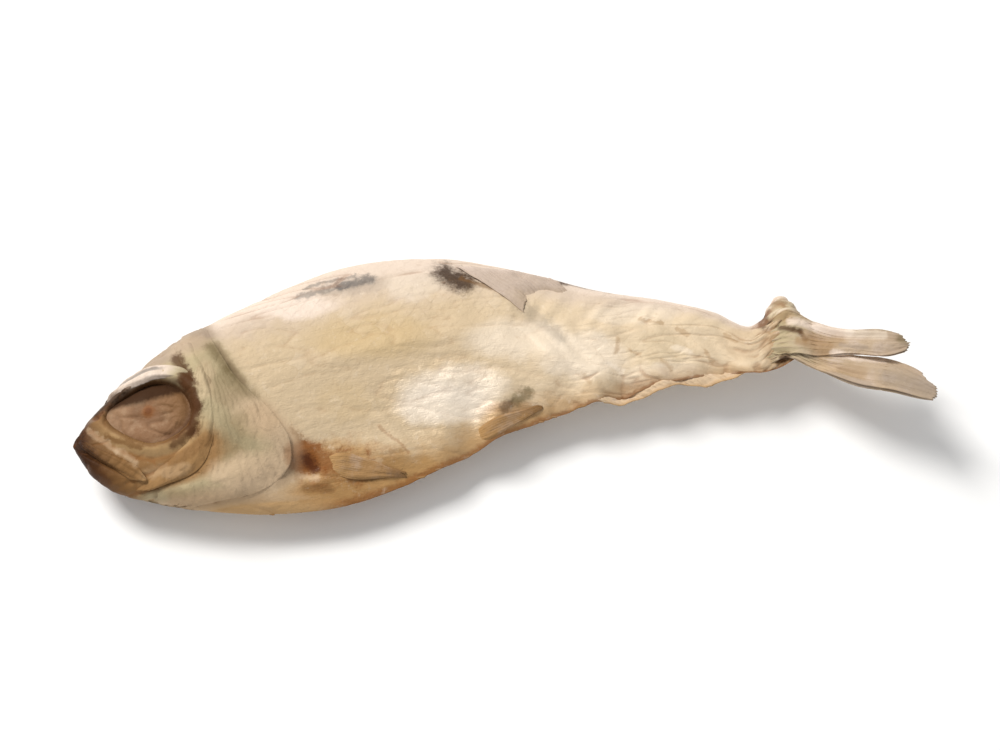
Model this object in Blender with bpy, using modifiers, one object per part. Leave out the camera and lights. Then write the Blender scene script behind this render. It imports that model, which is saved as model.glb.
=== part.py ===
"""Dried sardine: one whole small fish, dried hard, lying on its right side.

Blender 4.5, metres, +Z up. The snout points to -X, the back to +Y, and the left flank faces up.
The fish is one solid: body and head with their relief, and the shrivelled fins fused on.

Every shape is first worked out in the fish's own straight frame:
    station  distance behind the snout, as a share of the total length (0 snout, 1 tail tip)
    height   towards the back, in metres, from the line that joins the snout to the tail tip
    out      out of the left flank, in metres, from the fish's middle plane
lay_down() then carries that frame to the world, with the curl and twist that drying gave it.
"""

import math

import bmesh
import bpy
from mathutils import Vector

MM = 0.001

# ---------------------------------------------------------------- driving dimensions
TOTAL_LENGTH = 95.0 * MM
TAIL_ROOT = 0.868           # station where the flesh ends inside the tail fin
TAIL_TAPER = 3.4 * MM        # length over which it thins out there
GIRTH_LIFT = 0.56           # share of the depth that lies below the line of greatest thickness

# Side outline, as shares of the total length: (station, back, belly)
OUTLINE = (
    (0.00, 0.008, -0.010),
    (0.02, 0.030, -0.036),
    (0.05, 0.060, -0.059),
    (0.10, 0.107, -0.074),
    (0.16, 0.143, -0.086),
    (0.24, 0.185, -0.093),
    (0.33, 0.215, -0.083),
    (0.42, 0.222, -0.052),
    (0.52, 0.205, -0.007),
    (0.62, 0.171, 0.020),
    (0.70, 0.152, 0.038),
    (0.76, 0.131, 0.044),
    (0.80, 0.110, 0.037),
    (0.84, 0.149, 0.051),
    (0.87, 0.120, 0.042),
)
# Half thickness of the body, as shares of the total length: (station, half)
THICKNESS = (
    (0.00, 0.016),
    (0.05, 0.029),
    (0.10, 0.039),
    (0.16, 0.046),
    (0.22, 0.045),
    (0.30, 0.040),
    (0.42, 0.036),
    (0.54, 0.030),
    (0.66, 0.022),
    (0.76, 0.015),
    (0.80, 0.012),
    (0.84, 0.014),
    (0.87, 0.010),
)
# Height of the middle plane over the table, and its twist about the backbone
RISE = ((0.00, 5.2 * MM), (0.10, 4.7 * MM), (0.22, 4.1 * MM), (0.36, 3.5 * MM), (0.52, 3.3 * MM),
        (0.68, 3.7 * MM), (0.84, 5.0 * MM), (1.00, 6.6 * MM))
TWIST = ((0.00, math.radians(2)), (0.20, 0.0), (0.45, math.radians(-3)), (0.70, math.radians(-10)),
         (0.84, math.radians(-16)), (1.00, math.radians(-22)))

# Snout and mouth
NOSE_LENGTH = 2.2 * MM      # the snout rounds off over this length
MOUTH_LENGTH = 6.2 * MM
MOUTH_SLOPE = -0.62         # the gape runs down and back from the tip of the snout
MOUTH_WIDTH = 0.75 * MM
MOUTH_DEPTH = 0.75 * MM
JAW_SWELL = 0.35 * MM

# Eye: a large socket, round behind and pointed in front, under a brow
EYE_STATION = 0.095
EYE_HEIGHT = 2.7 * MM
EYE_FRONT = 5.4 * MM        # from the eye's centre to the front of its socket
EYE_REAR = 4.8 * MM
EYE_HALF_HEIGHT = 3.8 * MM
EYE_POINT = 1.45            # roundness of the front half: 2 is an ellipse, 1 a straight-sided point
RIM_HEIGHT = 0.35 * MM
SOCKET_DEPTH = 1.0 * MM
EYEBALL_RISE = 0.75 * MM

# Gill cover: its rear edge and the ridge behind the cheek, as (height, station) shares
GILL_EDGE = ((-0.082, 0.140), (-0.074, 0.203), (-0.054, 0.244), (-0.016, 0.254), (0.020, 0.232),
             (0.044, 0.209), (0.071, 0.188), (0.105, 0.169), (0.140, 0.155))
CHEEK_EDGE = ((-0.060, 0.095), (-0.048, 0.140), (-0.020, 0.163), (0.020, 0.170), (0.060, 0.163),
              (0.110, 0.145))
GILL_STEP = 0.60 * MM
CHEEK_STEP = 0.22 * MM

# Hollows left by drying: (station, height, half length, half height, depth)
HOLLOWS = (
    (0.375, 1.8 * MM, 10.5 * MM, 5.4 * MM, 0.85 * MM),      # belly cavity, sunk in
    (0.285, 11.4 * MM, 6.0 * MM, 3.8 * MM, 0.40 * MM),      # nape
    (0.560, 11.2 * MM, 11.0 * MM, 1.9 * MM, 0.55 * MM),     # crease below the folded dorsal fin
    (0.272, -4.3 * MM, 1.6 * MM, 1.3 * MM, 0.90 * MM),      # pit at the root of the pectoral fin
    (0.700, 8.6 * MM, 9.0 * MM, 2.0 * MM, 0.35 * MM),       # loin
)
BACKBONE_RIDGE = 0.35 * MM
COCKLE = 0.17 * MM          # unevenness of the dried skin
# Its waves: (length along the fish, length across it, start)
COCKLE_WAVES = ((1.27 * MM, 1.9 * MM, 0.0), (2.9 * MM, -1.6 * MM, 0.0), (1.9 * MM, -2.7 * MM, 1.0))
KEEL_WAVE = 0.55 * MM       # sideways waves of the thin rear belly edge
KEEL_WAVE_LENGTHS = (1.45 * MM, 0.93 * MM)

# Fins. A root or a span gives the stations where it starts and ends.
FIN_THICKNESS = 0.6 * MM
SINK = 1.3 * MM             # depth that each fin's root is buried in the flesh
DORSAL_ROOT = (0.440, 0.560)
DORSAL_LENGTHS = (11.0 * MM, 4.0 * MM)      # of its first and its last ray
DORSAL_SWEEP = 0.80         # share of a ray's length that it reaches backwards
DORSAL_DROP = 0.74          # share of a ray's length that it reaches down the flank
ANAL_ROOT = (0.600, 0.770)
ANAL_SWEEP = 0.020          # the stations that its edge lies behind its root
ANAL_HEIGHT = 0.75 * MM
ANAL_RAGGED = 0.35 * MM     # unevenness of its edge
PELVIC_SPAN = (0.455, 0.548)
PELVIC_WIDTHS = (1.0 * MM, 1.9 * MM, 0.6 * MM)      # at its root, at its widest and at its tip
PELVIC_ABOVE_KEEL = (2.6 * MM, 1.8 * MM)            # height of its upper margin at its root and its tip
PECTORAL_SPAN = (0.266, 0.385)
PECTORAL_WIDTHS = (1.5 * MM, 3.6 * MM, 1.0 * MM)
PECTORAL_HEIGHTS = (-3.4 * MM, -5.2 * MM)           # of its middle line at its root and its tip
RAY_WAVE = 0.10 * MM        # ribbing of the pectoral fin
LOBE_WAVE = 0.20 * MM       # folds along the tail's lobes
LOBE_BOW = 0.5 * MM         # sideways bow of the lobes
LOBE_SPREAD = (0.9 * MM, -0.6 * MM)     # how far the tips of the upper and the lower lobe lean apart

# Margins of the tail's lobes, which dried almost together: (station, outer height, inner height)
UPPER_LOBE = ((0.835, 10.4 * MM, 5.6 * MM), (0.860, 9.6 * MM, 5.0 * MM), (0.910, 7.6 * MM, 4.5 * MM),
              (0.950, 7.1 * MM, 4.2 * MM), (0.978, 6.0 * MM, 4.6 * MM))
LOWER_LOBE = ((0.835, 5.5 * MM, 7.2 * MM), (0.860, 4.0 * MM, 5.9 * MM), (0.910, 0.7 * MM, 4.3 * MM),
              (0.950, -0.7 * MM, 3.7 * MM), (0.980, -1.9 * MM, 1.9 * MM), (1.000, -2.4 * MM, 0.2 * MM))

# Mesh density of the body
RINGS = 88
SPOKES = 48
SHOWN_SHARE = 0.625         # share of the spokes spent on the upper, left flank
RING_CROWDING = 1.45        # above 1 packs more rings into the head


# ---------------------------------------------------------------- curves and blends
def through(points, at, column=1):
    """A smooth curve through the rows of points, read at a value of their first column."""
    at = min(max(at, points[0][0]), points[-1][0])
    last = len(points) - 1
    row = next(i for i in range(last) if at <= points[i + 1][0])

    def slope(i):
        before = points[max(i - 1, 0)]
        after = points[min(i + 1, last)]
        return (after[column] - before[column]) / (after[0] - before[0])

    start, end = points[row], points[row + 1]
    span = end[0] - start[0]
    t = (at - start[0]) / span
    return ((2 * t ** 3 - 3 * t ** 2 + 1) * start[column] + (t ** 3 - 2 * t ** 2 + t) * span * slope(row)
            + (3 * t ** 2 - 2 * t ** 3) * end[column] + (t ** 3 - t ** 2) * span * slope(row + 1))


def mix(start, end, share):
    return start + (end - start) * share


def smooth(low, high, value):
    """0 up to low, 1 from high, and an even bend between."""
    t = min(max((value - low) / (high - low), 0.0), 1.0)
    return t * t * (3 - 2 * t)


def bump(distance, width):
    """1 at no distance, fading as a bell curve of this width."""
    return math.exp(-(distance / width) ** 2)


# ---------------------------------------------------------------- the body's own measures
def back_at(station):
    return through(OUTLINE, station, 1) * TOTAL_LENGTH


def belly_at(station):
    return through(OUTLINE, station, 2) * TOTAL_LENGTH


def middle_at(station):
    """Height of the line of greatest thickness."""
    return mix(belly_at(station), back_at(station), GIRTH_LIFT)


def half_thickness(station):
    return through(THICKNESS, station) * TOTAL_LENGTH


def rounding(station):
    """Closes the snout and the hidden end inside the tail, as quarter circles."""
    nose = min(station * TOTAL_LENGTH / NOSE_LENGTH, 1.0)
    end = min((TAIL_ROOT - station) * TOTAL_LENGTH / TAIL_TAPER, 1.0)
    return math.sqrt(max(1 - (1 - nose) ** 2, 0.0)) * math.sqrt(max(1 - (1 - end) ** 2, 0.0))


def fullness(share, station):
    """Thickness, 0 to 1, at a share of the way from the middle to the back (+1) or to the keel (-1)."""
    head = 1 - smooth(0.16, 0.26, station)
    if share >= 0:
        power, root = 2.2 + 0.9 * head, 0.60 - 0.06 * head
    else:
        power, root = 1.9 + 0.6 * head, 0.82 - 0.20 * head
    return max(1 - abs(share) ** power, 0.0) ** root


# ---------------------------------------------------------------- relief, in metres out of the flank
def hollows_relief(along, height):
    depth = 0.0
    for station, centre, half_along, half_height, deepest in HOLLOWS:
        reach = math.hypot((along - station * TOTAL_LENGTH) / half_along, (height - centre) / half_height)
        depth += deepest * math.exp(-reach ** 2)
    return -depth


def eye_reach(along, height):
    """0 at the eye's centre and 1 on the edge of its socket."""
    ahead = EYE_STATION * TOTAL_LENGTH - along
    half, power = (EYE_FRONT, EYE_POINT) if ahead > 0 else (EYE_REAR, 2.0)
    across = abs(height - EYE_HEIGHT) / EYE_HALF_HEIGHT
    return ((abs(ahead) / half) ** power + across ** power) ** (1 / power)


def eye_relief(along, height):
    """A bony rim with a brow above, round a socket with the shrunken eyeball low inside it."""
    reach = eye_reach(along, height)
    brow = smooth(0.0, 3.5 * MM, height - EYE_HEIGHT)
    rim = RIM_HEIGHT * (1 + 0.6 * brow) * bump(reach - 1.10, 0.22)
    socket = -SOCKET_DEPTH * (1 - smooth(0.58, 1.02, reach))
    ball = EYEBALL_RISE * max(1 - (reach / 0.78) ** 2, 0.0)
    return rim + socket + ball


def behind_edge(edge, along, height):
    """Distance behind a curved edge, in metres; negative in front of it."""
    share = height / TOTAL_LENGTH
    lean = (through(edge, share + 0.004) - through(edge, share - 0.004)) / 0.008
    return (along - through(edge, share) * TOTAL_LENGTH) / math.hypot(1.0, lean)


def gill_relief(along, height):
    """The gill cover and the cheek plate on it each stand proud, up to a step along their rear edge."""
    gill = behind_edge(GILL_EDGE, along, height)
    cheek = behind_edge(CHEEK_EDGE, along, height)
    plate = GILL_STEP * smooth(-9 * MM, -3 * MM, gill) * (1 - smooth(-0.9 * MM, 0.7 * MM, gill))
    gutter = -0.30 * MM * bump(gill - 1.5 * MM, 1.1 * MM)
    cheek_plate = CHEEK_STEP * smooth(-4 * MM, -1 * MM, cheek) * (1 - smooth(-0.7 * MM, 0.7 * MM, cheek))
    return plate + gutter + cheek_plate


def mouth_relief(along, height):
    """The closed gape, a groove from the snout's tip down and back, over the swell of the lower jaw."""
    above = height - (MOUTH_SLOPE * along - 0.2 * MM)
    groove = -MOUTH_DEPTH * bump(above, MOUTH_WIDTH) * (1 - smooth(0.75 * MOUTH_LENGTH, MOUTH_LENGTH, along))
    jaw = JAW_SWELL * bump(above + 1.8 * MM, 1.1 * MM) * (1 - smooth(5 * MM, 9 * MM, along))
    return groove + jaw


def cockle_relief(along, height):
    """Uneven waves of the dried skin, none on the head and strongest towards the tail."""
    first, second, third = (math.sin(along / length + height / breadth + start)
                            for length, breadth, start in COCKLE_WAVES)
    return COCKLE * (first * second + 0.6 * third) * smooth(0.30, 0.60, along / TOTAL_LENGTH)


def flank_relief(station, height):
    """All the relief at a point of the flank."""
    along = station * TOTAL_LENGTH
    spine = middle_at(station) + 0.6 * MM
    ridge = BACKBONE_RIDGE * smooth(0.22, 0.32, station) * bump(height - spine, 1.5 * MM)
    return (ridge + hollows_relief(along, height) + eye_relief(along, height) + gill_relief(along, height)
            + mouth_relief(along, height) + cockle_relief(along, height))


def keel_wave(station, share):
    """Sideways waves of the thin rear belly edge, which dried crinkled."""
    along = station * TOTAL_LENGTH
    edge = smooth(-0.35, -1.0, share) * smooth(0.36, 0.50, station)
    long, short = KEEL_WAVE_LENGTHS
    return KEEL_WAVE * edge * (math.sin(along / long) + 0.6 * math.sin(along / short + 2.0))


def flesh_out(station, height):
    """How far the left flank lies from the middle plane, relief and all."""
    middle = middle_at(station)
    reach = (back_at(station) - middle) if height >= middle else (middle - belly_at(station))
    full = fullness(min(max((height - middle) / reach, -0.98), 0.98), station)
    return half_thickness(station) * full + flank_relief(station, height) * min(full * 1.6, 1.0)


def lay_down(station, height, out):
    """From the fish's straight frame to the world, before the origin is set."""
    middle = middle_at(min(station, TAIL_ROOT))
    twist = through(TWIST, station)
    across = height - middle
    y = middle + across * math.cos(twist) - out * math.sin(twist)
    z = through(RISE, station) + across * math.sin(twist) + out * math.cos(twist)
    return Vector((station * TOTAL_LENGTH, y, z))


def skin_point(station, turn):
    """A point of the skin. turn runs from -pi (right flank) over 0 (left flank's middle) to pi."""
    side = 1.0 if math.cos(turn) >= 0 else -1.0
    sine = math.sin(turn)
    even = math.asin(sine) * 2 / math.pi
    share = mix(even, sine, 0.55)
    closing = rounding(station)
    middle = middle_at(station)
    reach = (back_at(station) - middle) if share >= 0 else (middle - belly_at(station))
    height = middle + share * reach * closing
    full = fullness(share, station) * closing
    relief = flank_relief(station, height) * min(full * 1.6, 1.0) * closing
    out = side * max(half_thickness(station) * full + relief, 0.12 * full * half_thickness(station))
    return lay_down(station, height, out + keel_wave(station, share))


# ---------------------------------------------------------------- meshes
def new_object(name, mesh, collection):
    thing = bpy.data.objects.new(name, mesh)
    collection.objects.link(thing)
    return thing


def share_out(angle):
    """Spreads the spokes so that SHOWN_SHARE of them fall on the left flank."""
    part = abs(angle) / math.pi
    if part <= SHOWN_SHARE:
        turned = 0.5 * part / SHOWN_SHARE
    else:
        turned = 0.5 + 0.5 * (part - SHOWN_SHARE) / (1 - SHOWN_SHARE)
    return math.copysign(turned * math.pi, angle)


def body(collection):
    """A sphere whose poles become the snout and the tail root, each ring shaped to its station."""
    shape = bmesh.new()
    bmesh.ops.create_uvsphere(shape, u_segments=SPOKES, v_segments=RINGS, radius=1.0)
    for vertex in shape.verts:
        x, y, z = vertex.co
        share = math.acos(min(max(z, -1.0), 1.0)) / math.pi
        station = TAIL_ROOT * share ** RING_CROWDING
        vertex.co = skin_point(station, share_out(math.atan2(y, x)))
    press_flat(shape)
    bmesh.ops.recalc_face_normals(shape, faces=shape.faces)
    mesh = bpy.data.meshes.new("body")
    shape.to_mesh(mesh)
    shape.free()
    return new_object("body", mesh, collection)


def press_flat(shape):
    """What would reach under the tray it dried on is flat there."""
    for vertex in shape.verts:
        vertex.co.z = max(vertex.co.z, 0.0)


def blade(name, place, steps_along, steps_across, thickness, collection):
    """A thin fin: place(along, across) gives the middle of the blade for shares from 0 to 1."""
    shape = bmesh.new()
    bmesh.ops.create_grid(shape, x_segments=steps_along, y_segments=steps_across, size=0.5)
    for vertex in shape.verts:
        vertex.co = place(vertex.co.x + 0.5, vertex.co.y + 0.5)
    mesh = bpy.data.meshes.new(name)
    shape.to_mesh(mesh)
    shape.free()
    fin = new_object(name, mesh, collection)
    wall = fin.modifiers.new("thickness", "SOLIDIFY")
    wall.thickness = thickness
    wall.offset = 0.0
    wall.use_even_offset = False
    return fin


def dorsal_place(along, across):
    """Rooted along the ridge of the back and folded down over the left flank, its end ragged."""
    length = mix(*DORSAL_LENGTHS, along ** 0.8) * (1 - 0.10 * math.sin(11 * along) ** 2)
    root = mix(*DORSAL_ROOT, along)
    station = root + DORSAL_SWEEP * across * length / TOTAL_LENGTH
    height = back_at(root) - 0.3 * MM - DORSAL_DROP * across * length
    lift = mix(-0.5, 0.22, smooth(0.0, 0.3, across)) * MM
    return lay_down(station, height, flesh_out(station, height) + lift)


def anal_place(along, across):
    """A low crinkled frill under the rear of the belly."""
    station = mix(*ANAL_ROOT, along) + ANAL_SWEEP * across
    tall = ANAL_HEIGHT + ANAL_RAGGED * math.cos(13 * along) * math.cos(5 * along)
    tall *= smooth(-0.05, 0.15, along)
    height = belly_at(station) + SINK - across * (SINK + tall)
    frill = 0.4 * MM * across * math.sin(17 * along)
    return lay_down(station, height, keel_wave(station, -1.0) + frill)


def leaf_width(along, root, widest, tip):
    """Width of a folded fin: narrow at its root, widest a third of the way, narrow at its tip."""
    return mix(root, widest, smooth(0.0, 0.35, along)) * mix(1.0, tip / widest, smooth(0.35, 1.0, along))


def pelvic_place(side):
    """A small pointed fin folded back along the keel, on the side given."""
    def place(along, across):
        station = mix(*PELVIC_SPAN, along)
        width = leaf_width(along, *PELVIC_WIDTHS)
        height = belly_at(station) + mix(*PELVIC_ABOVE_KEEL, along) - across * width
        lift = mix(-0.4, 0.10, smooth(0.0, 0.2, along)) * MM
        out = side * (flesh_out(station, height) + lift)
        return lay_down(station, height, out + keel_wave(station, -0.8))
    return place


def pectoral_place(side):
    """Folded back against the belly from low behind the gill cover, narrowing to a blunt tip."""
    def place(along, across):
        station = mix(*PECTORAL_SPAN, along)
        width = leaf_width(along, *PECTORAL_WIDTHS)
        height = mix(*PECTORAL_HEIGHTS, along) + (0.5 - across) * width
        lift = mix(-0.3, 0.12, smooth(0.0, 0.15, along)) * MM
        ray = RAY_WAVE * math.sin(5 * math.pi * across)
        return lay_down(station, height, side * (flesh_out(station, height) + lift + ray))
    return place


def lobe_place(margins, lean):
    """One shrunken lobe of the tail between its margins: (station, outer height, inner height) rows."""
    def place(along, across):
        tip = margins[-1][0] - 0.007 * (2 * across - 1) ** 2
        station = mix(margins[0][0], tip, along)
        height = mix(through(margins, station, 1), through(margins, station, 2), across)
        depth = LOBE_WAVE * smooth(0.0, 0.3, along) * (1 - 0.9 * smooth(0.5, 1.0, along))
        rays = depth * math.sin(3.5 * math.pi * across + 1.5 * along)
        return lay_down(station, height, rays + lean * along + LOBE_BOW * math.sin(3 * along))
    return place


def fins(collection):
    thick = FIN_THICKNESS
    blade("dorsal_fin", dorsal_place, 14, 6, thick, collection)
    blade("anal_fin", anal_place, 22, 3, 1.3 * thick, collection)
    for name, side in (("left", 1), ("right", -1)):
        blade("pelvic_fin_" + name, pelvic_place(side), 8, 3, thick, collection)
        blade("pectoral_fin_" + name, pectoral_place(side), 10, 6, thick, collection)
    blade("tail_lobe_upper", lobe_place(UPPER_LOBE, LOBE_SPREAD[0]), 14, 8, 1.4 * thick, collection)
    blade("tail_lobe_lower", lobe_place(LOWER_LOBE, LOBE_SPREAD[1]), 16, 8, 1.4 * thick, collection)


def fuse(base, collection):
    """Joins every shape of the collection to base, applies it and clears the collection."""
    join = base.modifiers.new("join", "BOOLEAN")
    join.operation = "UNION"
    join.operand_type = "COLLECTION"
    join.collection = collection
    join.solver = "EXACT"
    bpy.context.view_layer.update()
    graph = bpy.context.evaluated_depsgraph_get()
    joined = bpy.data.meshes.new_from_object(base.evaluated_get(graph), depsgraph=graph)
    base.modifiers.clear()
    base.data = joined
    for thing in list(collection.objects):
        bpy.data.objects.remove(thing)
    bpy.data.collections.remove(collection)


def press_and_centre(thing):
    """Presses the fused fins flat too, then puts the origin under the middle of the fish's box."""
    shape = bmesh.new()
    shape.from_mesh(thing.data)
    press_flat(shape)
    low = Vector(min(v.co[i] for v in shape.verts) for i in range(3))
    high = Vector(max(v.co[i] for v in shape.verts) for i in range(3))
    centre = (low + high) / 2
    bmesh.ops.translate(shape, verts=shape.verts, vec=(-centre.x, -centre.y, -low.z))
    shape.to_mesh(thing.data)
    shape.free()


def dried_skin():
    """Dull silvery beige skin."""
    skin = bpy.data.materials.new("dried skin")
    skin.use_nodes = True
    shader = skin.node_tree.nodes["Principled BSDF"]
    shader.inputs["Base Color"].default_value = (0.55, 0.42, 0.27, 1)
    shader.inputs["Roughness"].default_value = 0.55
    shader.inputs["Metallic"].default_value = 0.0
    return skin


def clear_scene():
    for thing in list(bpy.data.objects):
        bpy.data.objects.remove(thing)


def main():
    clear_scene()
    fish = bpy.data.collections.new("dried sardine")
    loose_fins = bpy.data.collections.new("fins")
    for collection in (fish, loose_fins):
        bpy.context.scene.collection.children.link(collection)
    whole = body(fish)
    fins(loose_fins)
    fuse(whole, loose_fins)
    press_and_centre(whole)
    whole.name = "dried_sardine"
    whole.data.materials.clear()
    whole.data.materials.append(dried_skin())
    whole.data.shade_smooth()
    whole.data.set_sharp_from_angle(angle=math.radians(50))


main()
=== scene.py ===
"""Dried sardine: the finished looks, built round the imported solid.

Metres, +Z up. The snout points to -X, the back to +Y, and the left flank faces up.
Every piece is first worked out in the fish's own straight frame, as the solid is:
    station  distance behind the snout, as a share of the total length (0 snout, 1 tail tip)
    height   towards the back, in metres, from the line that joins the snout to the tail tip
    turn     angle round the body: 0 on the left flank's middle, pi/2 on the back, -pi/2 on the keel
lay_down() then carries that frame to the world, with the curl and twist that drying gave it.
"""

import math

import bmesh
import bpy
import numpy as np
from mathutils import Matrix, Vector


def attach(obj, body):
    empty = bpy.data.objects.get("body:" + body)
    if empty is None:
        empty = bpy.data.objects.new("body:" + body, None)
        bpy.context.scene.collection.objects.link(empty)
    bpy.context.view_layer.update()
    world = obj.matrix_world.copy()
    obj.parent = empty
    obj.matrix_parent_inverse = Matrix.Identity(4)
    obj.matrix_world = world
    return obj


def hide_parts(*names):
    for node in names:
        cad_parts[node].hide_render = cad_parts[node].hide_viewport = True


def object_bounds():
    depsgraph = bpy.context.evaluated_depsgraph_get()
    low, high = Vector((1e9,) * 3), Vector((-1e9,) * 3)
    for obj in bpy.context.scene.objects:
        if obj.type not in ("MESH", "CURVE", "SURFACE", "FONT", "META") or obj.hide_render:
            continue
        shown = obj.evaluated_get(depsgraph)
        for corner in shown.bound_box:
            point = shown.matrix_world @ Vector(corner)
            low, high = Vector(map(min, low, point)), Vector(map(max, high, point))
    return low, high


bl_info = {
    "name": "Dried Sardine",
    "version": (1, 0, 0),
    "blender": (4, 5, 0),
    "location": "View3D > Sidebar > Sardine",
    "description": "Builds a whole small dried sardine, lying on its side",
    "category": "Add Mesh",
}

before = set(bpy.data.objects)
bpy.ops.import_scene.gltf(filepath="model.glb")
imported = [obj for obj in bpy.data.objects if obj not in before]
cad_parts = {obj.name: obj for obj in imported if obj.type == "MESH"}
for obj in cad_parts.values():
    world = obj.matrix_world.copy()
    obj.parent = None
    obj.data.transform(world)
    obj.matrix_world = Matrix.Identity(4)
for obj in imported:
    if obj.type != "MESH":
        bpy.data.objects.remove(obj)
CAD_LOW, CAD_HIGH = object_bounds()

MM = 0.001
NODE = "dried_sardine"
TAU = 2 * math.pi
SIDES = {1: "left", -1: "right"}

# ---------------------------------------------------------------- driving dimensions of the body
TOTAL_LENGTH = round(CAD_HIGH.x - CAD_LOW.x, 3)
TAIL_ROOT = 0.868           # station where the flesh ends inside the tail fin
TAIL_TAPER = 3.4 * MM
GIRTH_LIFT = 0.56           # share of the depth that lies below the line of greatest thickness

# Side outline, as shares of the total length: (station, back, belly)
OUTLINE = (
    (0.00, 0.008, -0.010),
    (0.02, 0.030, -0.036),
    (0.05, 0.060, -0.059),
    (0.10, 0.107, -0.074),
    (0.16, 0.143, -0.086),
    (0.24, 0.185, -0.093),
    (0.33, 0.215, -0.083),
    (0.42, 0.222, -0.052),
    (0.52, 0.205, -0.007),
    (0.62, 0.171, 0.020),
    (0.70, 0.152, 0.038),
    (0.76, 0.131, 0.044),
    (0.80, 0.110, 0.037),
    (0.84, 0.149, 0.051),
    (0.87, 0.120, 0.042),
)
# Half thickness of the body, as shares of the total length: (station, half)
THICKNESS = (
    (0.00, 0.016),
    (0.05, 0.029),
    (0.10, 0.039),
    (0.16, 0.046),
    (0.22, 0.045),
    (0.30, 0.040),
    (0.42, 0.036),
    (0.54, 0.030),
    (0.66, 0.022),
    (0.76, 0.015),
    (0.80, 0.012),
    (0.84, 0.014),
    (0.87, 0.010),
)
# Height of the middle plane over the table, and its twist about the backbone
RISE = ((0.00, 5.2 * MM), (0.10, 4.7 * MM), (0.22, 4.1 * MM), (0.36, 3.5 * MM), (0.52, 3.3 * MM),
        (0.68, 3.7 * MM), (0.84, 5.0 * MM), (1.00, 6.6 * MM))
TWIST = ((0.00, math.radians(2)), (0.20, 0.0), (0.45, math.radians(-3)), (0.70, math.radians(-10)),
         (0.84, math.radians(-16)), (1.00, math.radians(-22)))

NOSE_LENGTH = 2.2 * MM
MOUTH_LENGTH = 6.2 * MM
MOUTH_SLOPE = -0.62         # the gape runs down and back from the tip of the snout
MOUTH_WIDTH = 0.38 * MM
MOUTH_DEPTH = 0.50 * MM
JAW_SWELL = 0.35 * MM

EYE_STATION = 0.095
EYE_HEIGHT = 2.7 * MM
EYE_FRONT = 5.4 * MM        # from the eye's centre to the pointed front of its socket
EYE_REAR = 4.8 * MM
EYE_HALF_HEIGHT = 3.8 * MM
EYE_POINT = 1.45            # roundness of the front half: 2 is an ellipse, 1 a straight-sided point
RIM_HEIGHT = 0.35 * MM
SOCKET_DEPTH = 1.25 * MM

# Rear edge of the gill cover, the ridge behind the cheek, and the cheek plate's front: (height, station)
GILL_EDGE = ((-0.082, 0.140), (-0.074, 0.203), (-0.054, 0.244), (-0.016, 0.254), (0.020, 0.232),
             (0.044, 0.209), (0.071, 0.188), (0.105, 0.169), (0.140, 0.155))
CHEEK_EDGE = ((-0.060, 0.095), (-0.048, 0.140), (-0.020, 0.163), (0.020, 0.170), (0.060, 0.163),
              (0.110, 0.145))
CHEEK_FRONT = ((-0.060, 0.066), (-0.045, 0.078), (-0.025, 0.112), (0.000, 0.140), (0.028, 0.147),
               (0.060, 0.138), (0.085, 0.118), (0.110, 0.112))
GILL_STEP = 0.60 * MM
CHEEK_STEP = 0.22 * MM

# From the lowest to the highest row of each plate, as shares of the total length
GILL_ROWS = (-0.0810, 0.138)
CHEEK_ROWS = (-0.060, 0.106)
GILL_OVERLAP = 0.022        # the stations that the gill cover reaches under the cheek plate

# Hollows left by drying: (station, height, half length, half height, depth)
HOLLOWS = (
    (0.375, 1.8 * MM, 10.5 * MM, 5.4 * MM, 0.85 * MM),      # belly cavity, sunk in
    (0.285, 11.4 * MM, 6.0 * MM, 3.8 * MM, 0.40 * MM),      # nape
    (0.560, 11.2 * MM, 11.0 * MM, 1.9 * MM, 0.55 * MM),     # crease below the folded dorsal fin
    (0.272, -4.3 * MM, 1.6 * MM, 1.3 * MM, 0.90 * MM),      # pit at the root of the pectoral fin
    (0.700, 8.6 * MM, 9.0 * MM, 2.0 * MM, 0.35 * MM),       # loin
)
BACKBONE_RIDGE = 0.35 * MM
COCKLE = 0.17 * MM          # unevenness of the dried skin
# Its waves: (length along the fish, length across it, start)
COCKLE_WAVES = ((1.27 * MM, 1.9 * MM, 0.0), (2.9 * MM, -1.6 * MM, 0.0), (1.9 * MM, -2.7 * MM, 1.0))
KEEL_WAVE = 0.50 * MM       # sideways waves of the thin rear belly edge
KEEL_WAVE_LENGTHS = (1.45 * MM, 0.93 * MM)
KEEL_INSET = 0.08 * MM      # the skin ends this far inside the solid's keel, to leave room for the scutes
SCUTE_SPAN = (0.170, 0.585)     # stations of the first and the last scute of the keel
SCUTE_LENGTH = 0.0155       # in stations
SCUTE_RADIUS = 0.14 * MM

# Fins. A root or a span gives the stations where it starts and ends.
DORSAL_ROOT = (0.440, 0.560)
DORSAL_LENGTHS = (11.0 * MM, 4.0 * MM)      # of its first and its last ray
DORSAL_SWEEP = 0.80         # share of a ray's length that it reaches backwards
DORSAL_DROP = 0.74          # share of a ray's length that it reaches down the flank
ANAL_ROOT = (0.600, 0.770)
ANAL_SWEEP = 0.022          # the stations that its edge lies behind its root
ANAL_HEIGHT = 0.80 * MM
ANAL_RAGGED = 0.35 * MM     # unevenness of its edge
PELVIC_SPAN = (0.455, 0.548)
PELVIC_WIDTHS = (1.0 * MM, 1.9 * MM, 0.6 * MM)      # at its root, at its widest and at its tip
PELVIC_ABOVE_KEEL = (2.6 * MM, 1.8 * MM)            # height of its upper margin at its root and its tip
PECTORAL_SPAN = (0.283, 0.385)
PECTORAL_WIDTHS = (1.3 * MM, 2.8 * MM, 0.7 * MM)
PECTORAL_HEIGHTS = (-3.4 * MM, -5.2 * MM)           # of its middle line at its root and its tip
LOBE_SPREAD = (0.9 * MM, -0.6 * MM)     # how far the tips of the upper and the lower lobe lean apart
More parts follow.
